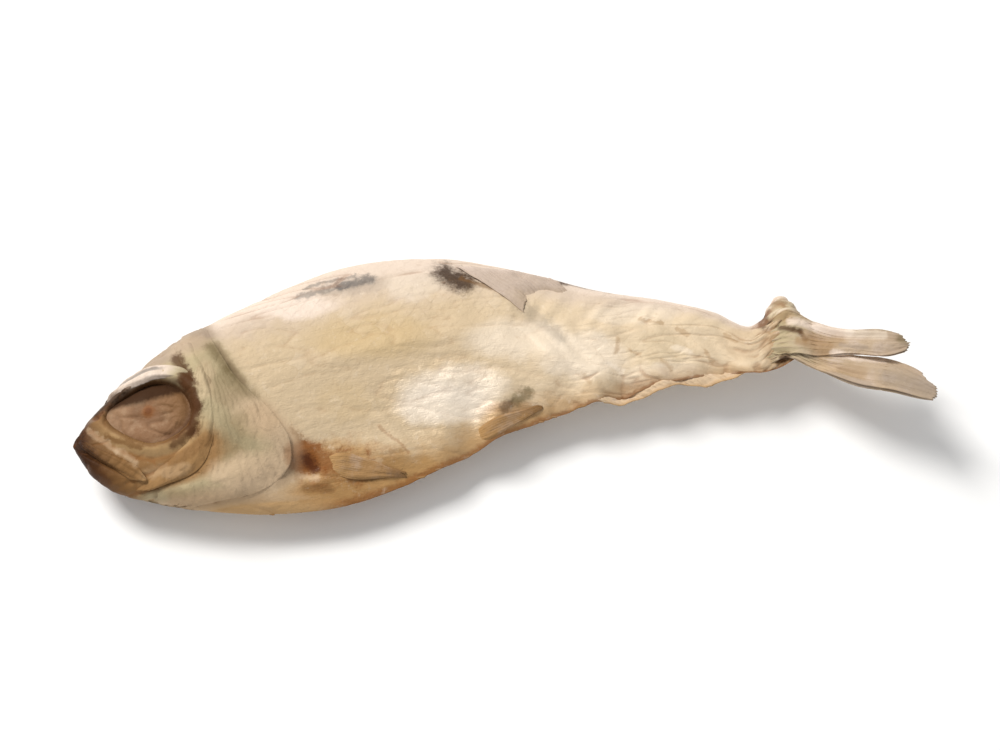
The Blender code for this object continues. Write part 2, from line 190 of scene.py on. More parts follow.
LOBE_FOLD = 0.30 * MM       # folds along the tail's lobes
LOBE_BOW = 0.5 * MM         # sideways bow of the lobes

# Margins of the tail's lobes: (station, outer height, inner height)
UPPER_LOBE = ((0.812, 9.3 * MM, 6.2 * MM), (0.835, 10.4 * MM, 5.6 * MM), (0.860, 9.6 * MM, 5.0 * MM),
              (0.910, 7.6 * MM, 4.6 * MM), (0.950, 7.1 * MM, 3.7 * MM), (0.978, 6.0 * MM, 4.2 * MM))
LOWER_LOBE = ((0.812, 4.7 * MM, 6.6 * MM), (0.835, 5.5 * MM, 7.2 * MM), (0.860, 4.0 * MM, 6.2 * MM),
              (0.910, 0.7 * MM, 5.0 * MM), (0.950, -0.7 * MM, 4.2 * MM), (0.980, -1.9 * MM, 2.5 * MM),
              (1.000, -2.4 * MM, 0.2 * MM))

# How far over the table the middle of each kind of piece stays
HEAD_LEVEL = 0.22 * MM      # the skin under the head's plates
PLATE_LEVEL = 0.11 * MM
JAW_LEVEL = 0.10 * MM
EYE_LEVEL = 0.05 * MM
LID_LEVEL = 0.06 * MM
FIN_LEVEL = 0.08 * MM
RAY_LEVEL = 0.14 * MM

LID_THICKNESS = 0.10 * MM

# Stage: (where the light stands, its width, its colour), the point looked at, and the floor's drop
KEY_LIGHT = ((-0.30, 0.34, 0.52), 0.26, (1.0, 0.985, 0.96))
FILL_LIGHT = ((0.35, -0.45, 0.30), 0.40, (0.95, 0.97, 1.0))
LOOKED_AT = (0.0, 0.0, 4.0 * MM)
FLOOR_DROP = 0.05 * MM

# ---------------------------------------------------------------- mesh density
RINGS = 420
SPOKES = 232
SHOWN_SHARE = 0.70          # share of the spokes spent on the upper, left flank
RING_CROWDING = 1.25        # above 1 packs more rings into the head
RAY_STEPS = 16              # along each ray of a fin


def display_to_linear(red, green, blue):
    """A display colour, 0 to 255, as the linear colour that a shader takes."""
    def one(value):
        share = value / 255
        return share / 12.92 if share <= 0.04045 else ((share + 0.055) / 1.055) ** 2.4
    return one(red), one(green), one(blue)


def distance(name, description, default):
    """A length that a user may change."""
    return bpy.props.FloatProperty(name=name, description=description, default=default, min=0.0,
                                   unit="LENGTH", subtype="DISTANCE", precision=5)


def colour(name, description, red, green, blue):
    """A colour that a user may change, given as it shows on a display."""
    return bpy.props.FloatVectorProperty(name=name, description=description, size=3, subtype="COLOR",
                                         min=0.0, max=1.0, default=display_to_linear(red, green, blue))


class SardineSizes(bpy.types.PropertyGroup):
    """Sizes of the fine detail."""
    scale_length: distance("Scale pocket length", "Spacing of the scale pockets along the body", 1.9 * MM)
    scale_height: distance("Scale row height", "Spacing of the rows of scale pockets", 1.15 * MM)
    scale_depth: distance("Scale pocket depth", "Step at the rear of a scale pocket", 0.035 * MM)
    wrinkle_depth: distance("Wrinkle depth", "Depth of the creases of the dried skin", 0.15 * MM)
    crumple_depth: distance("Crumple depth", "Depth of the folds along the rear belly edge", 0.20 * MM)
    plate_thickness: distance("Plate thickness", "Thickness of the gill cover and the cheek plate", 0.15 * MM)
    membrane_thickness: distance("Fin thickness", "Thickness of a dried fin's membrane", 0.10 * MM)
    ray_radius: distance("Ray radius", "Radius of a fin ray at its root", 0.115 * MM)
    keel_scutes: bpy.props.IntProperty(name="Keel scutes", default=27, min=2,
                                       description="How many pointed scales line the keel")


class SardineColours(bpy.types.PropertyGroup):
    """Colours of the dried fish, as they show in plain light."""
    flank: colour("Flank", "Creamy skin of the flank", 200, 178, 146)
    shine: colour("Shine", "Silver-white skin over the belly cavity", 236, 222, 204)
    straw: colour("Straw", "Yellowish skin above the belly cavity", 193, 168, 127)
    rear: colour("Rear", "Skin of the rear flank", 213, 192, 162)
    pink: colour("Pink", "Pinkish skin of the back", 204, 186, 173)
    crown: colour("Crown", "Skin on top of the head", 166, 147, 128)
    slate: colour("Slate", "Blue-grey streaks along the back", 106, 101, 97)
    gold: colour("Gold", "Oily golden belly", 176, 137, 88)
    rust: colour("Rust", "Dried blood and fat round the pectoral fin", 132, 80, 36)
    blood: colour("Blood", "Dark dried blood", 78, 36, 14)
    umber: colour("Umber", "Dark brown cracks, snout and edges", 52, 30, 14)
    cheek: colour("Cheek", "Tan cheek and jaw", 156, 120, 78)
    jaw: colour("Jaw", "Brown lower jaw", 120, 86, 50)
    cover: colour("Gill cover", "Greenish cream of the gill cover", 178, 162, 128)
    cover_edge: colour("Gill cover edge", "Pale rear of the gill cover", 206, 180, 148)
    iris: colour("Iris", "Dull pinkish brown of the shrunken eye", 140, 105, 76)
    ring: colour("Ring", "Brown ring round the eye", 80, 50, 27)
    lid: colour("Eyelid", "Pinkish white lid over the eye", 226, 208, 192)
    membrane: colour("Fin", "Membrane of a dried fin", 184, 162, 136)
    ray: colour("Ray", "Bony rays of a fin", 158, 130, 98)
    moss: colour("Moss", "Olive mark on the nape and at the tail's tips", 106, 92, 60)


class SardineStage(bpy.types.PropertyGroup):
    """Camera, light and floor."""
    lens: bpy.props.FloatProperty(name="Lens", description="Focal length", default=85.0, unit="CAMERA")
    width_shown: distance("Width shown", "Width of the picture at the fish", 112 * MM)
    elevation: bpy.props.FloatProperty(name="Elevation", description="Camera's angle above the table",
                                       default=math.radians(70), subtype="ANGLE")
    azimuth: bpy.props.FloatProperty(name="Azimuth", description="Camera's angle round the fish",
                                     default=math.radians(-3.3), subtype="ANGLE")
    floor_radius: distance("Floor radius", "Radius of the pale floor", 3.0)
    sky: bpy.props.FloatProperty(name="Sky", description="Strength of the even light", default=0.49)
    key_power: bpy.props.FloatProperty(name="Key", default=4.7,
                                       description="Power of the main light in watts")
    fill_power: bpy.props.FloatProperty(name="Fill", default=0.5,
                                        description="Power of the front light in watts")


# ---------------------------------------------------------------- curves, blends and noise
def through(points, at, column=1):
    """A smooth curve through the rows of points, read at values of their first column."""
    table = np.array(points, float)
    place, value = table[:, 0], table[:, column]
    before = np.concatenate(([0], np.arange(len(place) - 1)))
    after = np.concatenate((np.arange(1, len(place)), [len(place) - 1]))
    slope = (value[after] - value[before]) / (place[after] - place[before])
    at = np.clip(at, place[0], place[-1])
    row = np.clip(np.searchsorted(place, at, side="left") - 1, 0, len(place) - 2)
    span = place[row + 1] - place[row]
    t = (at - place[row]) / span
    return ((2 * t ** 3 - 3 * t ** 2 + 1) * value[row] + (t ** 3 - 2 * t ** 2 + t) * span * slope[row]
            + (3 * t ** 2 - 2 * t ** 3) * value[row + 1] + (t ** 3 - t ** 2) * span * slope[row + 1])


def mix(start, end, share):
    """The value a share of the way from start to end."""
    return start + (end - start) * share


def smooth(low, high, value):
    """0 up to low, 1 from high, and an even bend between."""
    t = np.clip((value - low) / (high - low), 0.0, 1.0)
    return t * t * (3 - 2 * t)


def bump(distance, width):
    """1 at no distance, fading as a bell curve of this width."""
    return np.exp(-(distance / width) ** 2)


def spot(along, height, station, centre, half_along, half_height):
    """A soft oval patch: 1 at its middle and fading round it."""
    return bump(np.hypot((along - station * TOTAL_LENGTH) / half_along, (height - centre) / half_height), 1.0)


def unevenness(x, y, seed=0.0):
    """Smooth random values from -1 to 1 over a plane, the same on every run."""
    x, y = np.broadcast_arrays(np.asarray(x, float), np.asarray(y, float))
    cell_x, cell_y = np.floor(x), np.floor(y)
    part_x, part_y = x - cell_x, y - cell_y
    part_x = part_x * part_x * (3 - 2 * part_x)
    part_y = part_y * part_y * (3 - 2 * part_y)

    def corner(step_x, step_y):
        value = np.sin((cell_x + step_x) * 127.1 + (cell_y + step_y) * 311.7 + seed * 74.7) * 43758.5453
        return 2 * (value - np.floor(value)) - 1

    low = mix(corner(0, 0), corner(1, 0), part_x)
    high = mix(corner(0, 1), corner(1, 1), part_x)
    return mix(low, high, part_y)


def creases(x, y, seed=0.0):
    """Sharp valleys between round folds, from about -1 in a valley to 0."""
    folded = np.abs(unevenness(x, y, seed) + 0.5 * unevenness(2.1 * x, 2.1 * y, seed + 5))
    return -np.clip(1 - folded / 0.30, 0.0, 1.0) ** 1.5


# ---------------------------------------------------------------- the body's own measures
def back_at(station):
    """Height of the back, in metres."""
    return through(OUTLINE, station, 1) * TOTAL_LENGTH


def belly_at(station):
    """Height of the keel, in metres."""
    return through(OUTLINE, station, 2) * TOTAL_LENGTH


def middle_at(station):
    """Height of the line of greatest thickness."""
    return mix(belly_at(station), back_at(station), GIRTH_LIFT)


def half_thickness(station):
    """Half of the thickness, in metres, where the body is thickest."""
    return through(THICKNESS, station) * TOTAL_LENGTH


def rounding(station):
    """Closes the snout and the hidden end inside the tail, as quarter circles."""
    nose = np.clip(station * TOTAL_LENGTH / NOSE_LENGTH, 0.0, 1.0)
    end = np.clip((TAIL_ROOT - station) * TOTAL_LENGTH / TAIL_TAPER, 0.0, 1.0)
    return np.sqrt(1 - (1 - nose) ** 2) * np.sqrt(1 - (1 - end) ** 2)


def fullness(share, station):
    """Thickness, 0 to 1, at a share of the way from the middle to the back (+1) or to the keel (-1)."""
    head = 1 - smooth(0.16, 0.26, station)
    power = np.where(share >= 0, 2.2 + 0.9 * head, 1.9 + 0.6 * head)
    root = np.where(share >= 0, 0.60 - 0.06 * head, 0.82 - 0.20 * head)
    return np.maximum(1 - np.abs(share) ** power, 0.0) ** root


def keel_wave(station, share):
    """Sideways waves of the thin rear belly edge, which dried crinkled."""
    along = station * TOTAL_LENGTH
    edge = smooth(0.35, 1.0, -share) * smooth(0.36, 0.50, station)
    long, short = KEEL_WAVE_LENGTHS
    return KEEL_WAVE * edge * (np.sin(along / long) + 0.6 * np.sin(along / short + 2.0))


def lay_down(station, height, out):
    """From the fish's straight frame to the world."""
    middle = middle_at(np.minimum(station, TAIL_ROOT))
    twist = through(TWIST, station)
    across = height - middle
    y = middle + across * np.cos(twist) - out * np.sin(twist)
    z = through(RISE, station) + across * np.sin(twist) + out * np.cos(twist)
    return np.stack([station * TOTAL_LENGTH + CAD_LOW.x, y + CAD_LOW.y - LOWEST_KEEL, z], axis=-1)


LOWEST_KEEL = float(belly_at(np.linspace(0.0, TAIL_ROOT, 400)).min())


# ---------------------------------------------------------------- the large relief, in metres
def hollows_relief(along, height):
    """The hollows that drying left."""
    return -sum(deepest * spot(along, height, station, centre, half_along, half_height)
                for station, centre, half_along, half_height, deepest in HOLLOWS)


def eye_reach(along, height):
    """0 at the eye's centre and 1 on the edge of its socket."""
    ahead = EYE_STATION * TOTAL_LENGTH - along
    half = np.where(ahead > 0, EYE_FRONT, EYE_REAR)
    power = np.where(ahead > 0, EYE_POINT, 2.0)
    across = np.abs(height - EYE_HEIGHT) / EYE_HALF_HEIGHT
    return ((np.abs(ahead) / half) ** power + across ** power) ** (1 / power)


def eye_relief(along, height):
    """A bony rim with a brow above and a ridge below, round the socket."""
    reach = eye_reach(along, height)
    brow = smooth(0.0, 3.5 * MM, height - EYE_HEIGHT)
    rim = RIM_HEIGHT * (1 + 0.6 * brow) * bump(reach - 1.12, 0.17)
    return rim - SOCKET_DEPTH * (1 - smooth(0.80, 1.03, reach))


def behind_edge(edge, along, height):
    """Distance behind a curved edge, in metres; negative in front of it."""
    share, step = height / TOTAL_LENGTH, 0.004
    lean = (through(edge, share + step) - through(edge, share - step)) / (2 * step)
    return (along - through(edge, share) * TOTAL_LENGTH) / np.hypot(1.0, lean)


def plate_rise(along, height):
    """How the head swells towards the gill cover's edge."""
    return GILL_STEP * smooth(-9 * MM, -3 * MM, behind_edge(GILL_EDGE, along, height))


def gill_relief(along, height):
    """The flesh under the gill cover falls off ahead of the cover's edge, into a gutter behind it."""
    gill = behind_edge(GILL_EDGE, along, height)
    fall = 1 - smooth(-2.6 * MM, -0.2 * MM, gill)
    gutter = -0.16 * MM * bump(gill - 1.3 * MM, 1.1 * MM)
    fading = 1 - smooth(0.0, 4.5 * MM, gill)
    return plate_rise(along, height) * mix(0.35 * fading, 1.0, fall) + gutter


def mouth_relief(along, height):
    """The closed gape, a groove from the snout's tip down and back, over the swell of the lower jaw."""
    above = height - (MOUTH_SLOPE * along - 0.2 * MM)
    fading = 1 - smooth(0.75 * MOUTH_LENGTH, MOUTH_LENGTH, along)
    groove = -MOUTH_DEPTH * bump(above, MOUTH_WIDTH) * fading
    lip = 0.16 * MM * bump(above - 0.75 * MM, 0.40 * MM) * fading
    jaw = JAW_SWELL * bump(above + 1.8 * MM, 1.1 * MM) * (1 - smooth(5 * MM, 9 * MM, along))
    return groove + lip + jaw


def cockle_relief(along, height):
    """Uneven waves of the dried skin, none on the head and strongest towards the tail."""
    first, second, third = (np.sin(along / length + height / breadth + start)
                            for length, breadth, start in COCKLE_WAVES)
    return COCKLE * (first * second + 0.6 * third) * smooth(0.30, 0.60, along / TOTAL_LENGTH)


def large_relief(station, height):
    """All that the solid shows too, together."""
    along = station * TOTAL_LENGTH
    spine = middle_at(station) + 0.6 * MM
    ridge = BACKBONE_RIDGE * smooth(0.22, 0.32, station) * bump(height - spine, 1.5 * MM)
    return (ridge + hollows_relief(along, height) + eye_relief(along, height) + gill_relief(along, height)
            + mouth_relief(along, height) + cockle_relief(along, height))


def flesh_out(station, height):
    """How far the flank lies from the middle plane at a height, with the large relief."""
    middle = middle_at(station)
    reach = np.where(height >= middle, back_at(station) - middle, middle - belly_at(station))
    full = fullness(np.clip((height - middle) / reach, -0.98, 0.98), station)
    return half_thickness(station) * full + large_relief(station, height) * np.minimum(full * 1.6, 1.0)


# ---------------------------------------------------------------- places on the surface
def side_and_share(turn):
    """Which flank a turn is on (+1 left, -1 right), and how far towards the back (+1) or the keel (-1)."""
    side = np.where(np.cos(turn) >= 0, 1.0, -1.0)
    sine = np.sin(turn)
    return side, mix(np.arcsin(np.clip(sine, -1, 1)) * 2 / np.pi, sine, 0.55)


def section(station, turn):
    """Side, share, height, fullness and closing of a point of the body's smooth section."""
    side, share = side_and_share(turn)
    closing = rounding(station)
    middle = middle_at(station)
    reach = np.where(share >= 0, back_at(station) - middle, middle - belly_at(station) - KEEL_INSET)
    return side, share, middle + share * reach * closing, fullness(share, station) * closing, closing


def skin_place(station, turn, relief=large_relief):
    """The world place of a point of the skin, with the large relief alone."""
    station, turn = np.broadcast_arrays(np.asarray(station, float), np.asarray(turn, float))
    side, share, height, full, closing = section(station, turn)
    base = half_thickness(station) * full
    raised = base + relief(station, height) * np.minimum(full * 1.6, 1.0) * closing
    return lay_down(station, height, side * np.maximum(raised, 0.12 * base) + keel_wave(station, share))


def lifted_place(station, turn, lift, relief=large_relief):
    """A point that stands off the skin by a lift, square to it."""
    step, turned = 0.0015, 0.02
    fore, aft = np.maximum(station - step, 0.0), np.minimum(station + step, TAIL_ROOT - 0.0002)
    length_way = skin_place(aft, turn, relief) - skin_place(fore, turn, relief)
    girth_way = skin_place(station, turn + turned, relief) - skin_place(station, turn - turned, relief)
    normal = np.cross(length_way, girth_way)
    size = np.linalg.norm(normal, axis=-1, keepdims=True)
    normal = np.where(size > 1e-12, normal / np.maximum(size, 1e-12), np.array([-1.0, 0.0, 0.0]))
    return skin_place(station, turn, relief) + normal * np.asarray(lift)[..., None]


TURN_STEPS = np.linspace(-np.pi / 2, np.pi / 2, 721)
SHARE_STEPS = side_and_share(TURN_STEPS)[1]


def turn_at(station, height, side):
    """The turn at which a flank (+1 left, -1 right) has this height."""
    middle = middle_at(station)
    reach = np.where(height >= middle, back_at(station) - middle, middle - belly_at(station) - KEEL_INSET)
    share = np.clip((height - middle) / (reach * np.maximum(rounding(station), 0.05)), -1.0, 1.0)
    turn = np.interp(share, SHARE_STEPS, TURN_STEPS)
    return turn if side > 0 else np.where(turn >= 0, np.pi - turn, -np.pi - turn)


def girth_at(station, turn):
    """Distance round the smooth body from the left flank's middle, in metres, + towards the back."""
    steps = 24
    total = np.zeros_like(station)
    before = None
    for step in range(steps + 1):
        side, _, height, full, _ = section(station, turn * step / steps)
        here = np.stack([height, side * half_thickness(station) * full])
        if before is not None:
            total += np.hypot(*(here - before))
        before = here
    return total * np.sign(turn)


def scale_courses(along, girth, sizes):
    """Course and row of the scale pockets at a place of the skin, counted in scales, a little uneven."""
    x, y = along / MM, girth / MM
    course = along / sizes.scale_length + 0.35 * unevenness(x / 5.3, y / 4.1, 1) + 0.10 * unevenness(x, y, 2)
    row = girth / sizes.scale_height + 0.40 * unevenness(x / 6.1, y / 5.7, 3) + 0.12 * unevenness(x, y, 4)
    return course, row


def scale_tilt(course, row):
    """How far along its own scale a point is, 0 to 1, on the scale that lies on top there."""
    def one(parity):
        across = 2 * (np.mod((row - parity) / 2 + 0.5, 1.0) - 0.5)
        return np.mod(course - parity / 2 + 0.5 * across ** 2, 1.0)
    return np.maximum(one(0), one(1))


# Folds of the knot at the root of the tail: (station, height, half length, half height, lift)
KNOT_FOLDS = (
    (0.814, 10.4 * MM, 0.90 * MM, 1.30 * MM, -0.36 * MM),
    (0.838, 10.5 * MM, 1.60 * MM, 0.55 * MM, 0.24 * MM),
    (0.842, 9.0 * MM, 1.50 * MM, 0.35 * MM, -0.30 * MM),
    (0.835, 12.2 * MM, 1.10 * MM, 0.40 * MM, -0.26 * MM),
    (0.833, 5.6 * MM, 0.90 * MM, 0.55 * MM, -0.30 * MM),
)


def knot_relief(station, height):
    """The crinkled knot at the root of the tail, in metres."""
    x, y = station * TOTAL_LENGTH / MM, height / MM
    base = spot(station * TOTAL_LENGTH, height, 0.834, 10.0 * MM, 3.4 * MM, 4.2 * MM)
    knot = 0.14 * unevenness(x / 1.1 + 0.4 * y, y / 0.65, 29) + 0.26 * creases(x / 1.8 - 0.5 * y, y / 1.0, 28)
    return base * knot * MM + sum(lift * spot(station * TOTAL_LENGTH, height, at, level, long, tall)
                                  for at, level, long, tall, lift in KNOT_FOLDS)


def scale_relief(station, share, x, round_way, course, row, sizes):
    """Faint pockets of the scales, in patches, in metres."""
    belly = smooth(0.45, 0.85, -share)
    kept = unevenness(x / 7.5, round_way / 4.6, 7) + 0.45 * unevenness(x / 2.6, round_way / 2.0, 8)
    patches = smooth(-0.35, 0.45, kept) * (1 - 0.6 * belly) * (1 - smooth(0.74, 0.82, station))
    return sizes.scale_depth * (scale_tilt(course, row) - 0.75) * patches


def flank_relief(station, height, share, x, y, round_way, sizes):
    """Broad waves of the dried flank, and its sharp folds, in metres."""
    rear = smooth(0.48, 0.70, station)
    back = smooth(0.45, 0.85, share)
    sinking = 0.15 * MM * unevenness(x / 5.5 + 0.2 * round_way, round_way / 2.8, 18) * (1 - 0.5 * rear)
    ribs = 0.075 * MM * np.sin(TAU * (x * 0.80 + y * 0.60) / 2.3 + 0.8 * unevenness(x / 4.0, y / 4.0, 20))
    ribs = ribs * spot(station * TOTAL_LENGTH, height, 0.39, 1.0 * MM, 10.0 * MM, 5.5 * MM)
    spine = middle_at(station) / MM + 0.6
    muscles = x - 0.75 * np.abs(y - spine) + 0.8 * unevenness(x / 3.0, y / 3.0, 21)
    chevrons = 0.07 * MM * np.sin(TAU * muscles / 2.6)
    chevrons = chevrons * smooth(0.46, 0.58, station) * (1 - smooth(0.76, 0.80, station))

    depth = sizes.wrinkle_depth
    back_folds = depth * creases(x / 8.0 + 0.25 * round_way, round_way / 1.5, 11)
    rear_folds = 0.75 * depth * creases(x / 5.0 - 0.35 * round_way, round_way / 1.15, 13)
    flank_folds = 0.65 * depth * creases(x / 6.5 + 0.32 * round_way, round_way / 2.6, 17)
    crumple = smooth(0.25, 0.90, -share) * smooth(0.52, 0.62, station)
    crumple = crumple * (1 - 0.6 * smooth(0.76, 0.81, station))
    crumpled = sizes.crumple_depth * (0.7 * unevenness(x / 1.7 + 0.3 * round_way, round_way / 1.1, 19)
                                      + 0.8 * creases(x / 2.6, round_way / 2.4, 23))
    rays = 0.11 * MM * np.sin(y * 4.3 - 0.25 * x + 1.4 * unevenness(x / 2.6, y / 1.5, 30))
    folds = back_folds * back + (rear_folds * rear + flank_folds * (1 - rear)) * (1 - back)
    return (sinking + ribs + chevrons * (1 - back),
            folds + crumple * crumpled + rays * smooth(0.785, 0.83, station))


def head_relief(station, height, share, x, y, round_way):
    """Ridges of the skull, folds of the throat, pits, nostrils and the worn rim of the socket, in metres."""
    along = station * TOTAL_LENGTH
    reach = eye_reach(along, height)
    skull = 0.08 * MM * np.sin(round_way * 4.0 + 0.3 * x + unevenness(x / 2.5, round_way / 1.5, 32))
    skull = skull * smooth(0.62, 0.92, share)
    skull = skull * smooth(0.02, 0.06, station) * (1 - smooth(0.14, 0.18, station))
    throat = -0.15 * MM * np.abs(np.sin(round_way * 1.9 + 0.20 * x)) ** 6 * smooth(0.45, 0.75, -share)
    throat = throat * smooth(0.055, 0.09, station) * (1 - smooth(0.17, 0.21, station))
    pitted = 0.045 * MM * unevenness(x / 0.6, round_way / 0.6, 31)
    pitted = pitted + 0.09 * MM * creases(x / 2.6, round_way / 1.7, 37)
    nostril = -0.42 * MM * spot(along, height, 0.030, 2.55 * MM, 0.42 * MM, 0.30 * MM)
    nostril = nostril - 0.28 * MM * spot(along, height, 0.038, 3.15 * MM, 0.30 * MM, 0.22 * MM)
    dent = -0.14 * MM * bump(reach - 1.40, 0.12) * smooth(0.2 * MM, 2.0 * MM, EYE_HEIGHT - height)
    rim = 0.07 * MM * unevenness(x / 0.8, y / 0.8, 33) + 0.09 * MM * creases(x / 1.6, y / 1.3, 34)
    bare = smooth(1.15, 1.5, reach)
    return bare * (pitted + skull + throat + dent) + rim * bump(reach - 1.02, 0.16) + nostril


def fine_relief(station, height, share, girth, course, row, sizes):
    """Scale pockets, wrinkles, folds and pits of the dried skin, in metres; and the folds and pits alone."""
    along = station * TOTAL_LENGTH
    x, y, round_way = along / MM, height / MM, girth / MM
    gill = behind_edge(GILL_EDGE, along, height)
    body = smooth(0.2 * MM, 3.0 * MM, gill)
    head = 1 - smooth(-1.0 * MM, 1.0 * MM, gill)
    scales = scale_relief(station, share, x, round_way, course, row, sizes)
    waves, folds = flank_relief(station, height, share, x, y, round_way, sizes)
    pits = knot_relief(station, height) + head * head_relief(station, height, share, x, y, round_way)
    return body * (scales + waves + folds) + pits, body * folds + pits


# ---------------------------------------------------------------- meshes and pieces
def pressed(points, level):
    """What would reach under the table is flat there."""
    points = np.array(points)
    points[..., 2] = np.maximum(points[..., 2], level)
    return points


def move(shape, places):
    """Moves the vertices of a shape to their places."""
    for vertex, place in zip(shape.verts, places):
        vertex.co = place


def tag(mesh, **values):
    """Stores numbers on the vertices, for the materials to read."""
    for name, value in values.items():
        field = mesh.attributes.new(name, "FLOAT", "POINT")
        field.data.foreach_set("value", np.broadcast_to(value, len(mesh.vertices)).astype(np.float32))


def surface_tags(mesh, station, turn, sizes):
    """The numbers that place a skin pattern: all lengths in millimetres."""
    _, share, height, _, _ = section(station, turn)
    along = station * TOTAL_LENGTH
    girth = girth_at(station, turn)
    course, row = scale_courses(along, girth, sizes)
    tag(mesh, along=along / MM, high=height / MM, share=share, girth=girth / MM, course=course, row=row,
        gill=behind_edge(GILL_EDGE, along, height) / MM, cheek=behind_edge(CHEEK_EDGE, along, height) / MM,
        eye=eye_reach(along, height))


def new_piece(name, shape, material, thickness=None):
    """Makes an object of a bmesh, and says to the frame what it is."""
    mesh = bpy.data.meshes.new(name)
    shape.to_mesh(mesh)
    shape.free()
    mesh.shade_smooth()
    mesh.materials.append(material)
    piece = bpy.data.objects.new(name, mesh)
    bpy.context.scene.collection.objects.link(piece)
    if thickness is not None:
        wall = piece.modifiers.new("thickness", "SOLIDIFY")
        wall.thickness = thickness
        wall.offset = 0.0
        wall.use_even_offset = False
    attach(piece, "root")
    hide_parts(NODE)
    return piece


def grid_shape(steps_u, steps_v):
    """A flat grid, with the shares from 0 to 1 that each vertex has along its two ways."""
    shape = bmesh.new()
    bmesh.ops.create_grid(shape, x_segments=steps_u, y_segments=steps_v, size=0.5)
    flat = np.array([vertex.co for vertex in shape.verts])
    return shape, flat[:, 0] + 0.5, flat[:, 1] + 0.5


def strand(shape, line, radius, sides, flatten=1.0):
    """Adds a round strand along a line of points, closed at both ends; radius is one value for each point.

    Gives back the number of the line's point that each new vertex lies round.
    """
    last = len(line) - 1
    made = bmesh.ops.create_uvsphere(shape, u_segments=sides, v_segments=last, radius=1.0)["verts"]
    steps = []
    way = np.gradient(line, axis=0)
    way /= np.linalg.norm(way, axis=1, keepdims=True)
    across = np.cross(way, np.array([0.0, 0.0, 1.0]))
    across /= np.maximum(np.linalg.norm(across, axis=1, keepdims=True), 1e-9)
    upward = np.cross(across, way)
    for vertex in made:
        x, y, z = vertex.co
        step = round(math.acos(min(max(z, -1.0), 1.0)) / math.pi * last)
        steps.append(step)
        angle = math.atan2(y, x)
        reach = 0.0 if step in (0, last) else radius[step]
        vertex.co = Vector(line[step] + reach * (math.cos(angle) * across[step]
                                                 + flatten * math.sin(angle) * upward[step]))
    return steps


def share_out(angle):
    """Spreads the spokes so that SHOWN_SHARE of them fall on the left flank."""
    part = np.abs(angle) / np.pi
    turned = np.where(part <= SHOWN_SHARE, 0.5 * part / SHOWN_SHARE,
                      0.5 + 0.5 * (part - SHOWN_SHARE) / (1 - SHOWN_SHARE))
    return np.copysign(turned * np.pi, angle)


def make_skin(sizes, material):
    """A sphere whose poles become the snout and the tail root, each ring shaped to its station."""
    shape = bmesh.new()
    shape.loops.layers.uv.new("OFBake")
    bmesh.ops.create_uvsphere(shape, u_segments=SPOKES, v_segments=RINGS, radius=1.0, calc_uvs=True)
    ball = np.array([vertex.co for vertex in shape.verts])
    ring = np.arccos(np.clip(ball[:, 2], -1.0, 1.0)) / np.pi
    station = TAIL_ROOT * ring ** RING_CROWDING
    turn = share_out(np.arctan2(ball[:, 1], ball[:, 0]))
    _, share, height, full, closing = section(station, turn)
    girth = girth_at(station, turn)
    course, row = scale_courses(station * TOTAL_LENGTH, girth, sizes)
    fine, folds = fine_relief(station, height, share, girth, course, row, sizes)
    lift = fine * smooth(0.0, 0.5, closing) * smooth(0.0, 0.25, full + 0.15)
    level = HEAD_LEVEL * (1 - smooth(0.27, 0.31, station))
    move(shape, pressed(lifted_place(station, turn, lift), level))
    piece = new_piece("skin", shape, material)
    surface_tags(piece.data, station, turn, sizes)
    tag(piece.data, dip=folds / MM)


def plate_place(station, height, side, lift):
    """A point of a head plate, on the swollen surface that the plates form together."""
    def relief(at, level):
        along = at * TOTAL_LENGTH
        return plate_rise(along, level) + eye_relief(along, level)
    turn = turn_at(station, height, side)
    return lifted_place(station, turn, lift, relief), turn


def make_plate(name, side, rows, front, edge, lift, sizes, material):
    """A thin bony plate of the head between two curves, each given as the station at a height."""
    shape, across, up = grid_shape(56, 110)
    height = mix(rows[0], rows[1], up) * TOTAL_LENGTH
    ahead = front(height / TOTAL_LENGTH)
    behind = edge(height / TOTAL_LENGTH)
    behind = behind + 0.0016 * unevenness(height / MM / 1.3, 0 * height, 41 + side) * smooth(0.7, 1.0, across)
    station = mix(ahead, behind, across ** 0.8)
    places, turn = plate_place(station, height, side, lift(across, up, station, height))
    move(shape, pressed(places, PLATE_LEVEL))
    piece = new_piece(name, shape, material, sizes.plate_thickness)
    surface_tags(piece.data, station, turn, sizes)
    tag(piece.data, dip=0.0)


def make_gill_cover(side, sizes, material):
    """The large striated plate, whose rear edge stands off the flank."""
    def lift(across, up, station, height):
        x, y = station * TOTAL_LENGTH / MM, height / MM
        sunk = -0.45 * MM * (1 - smooth(0.0, 0.16, across))
        droop = -0.26 * MM * smooth(0.72, 1.0, across) * (0.85 + 0.5 * unevenness(y / 2.3, x * 0, 43))
        fan = np.arctan2(y - 11.0, x - 15.0)
        striae = 0.030 * MM * np.sin(fan * 40 + 0.8 * unevenness(x / 2, y / 2, 45))
        striae = striae * smooth(0.15, 0.4, across) * smooth(0.9, 0.4, up)
        waves = 0.17 * MM * unevenness(x / 3.1, y / 2.8, 47) + 0.09 * MM * creases(x / 2.2, y / 3.4, 49)
        return 0.02 * MM + sunk + droop + striae + waves

    make_plate("gill_cover_" + SIDES[side], side, GILL_ROWS,
               lambda h: through(CHEEK_EDGE, h) - GILL_OVERLAP, lambda h: through(GILL_EDGE, h),
               lift, sizes, material)


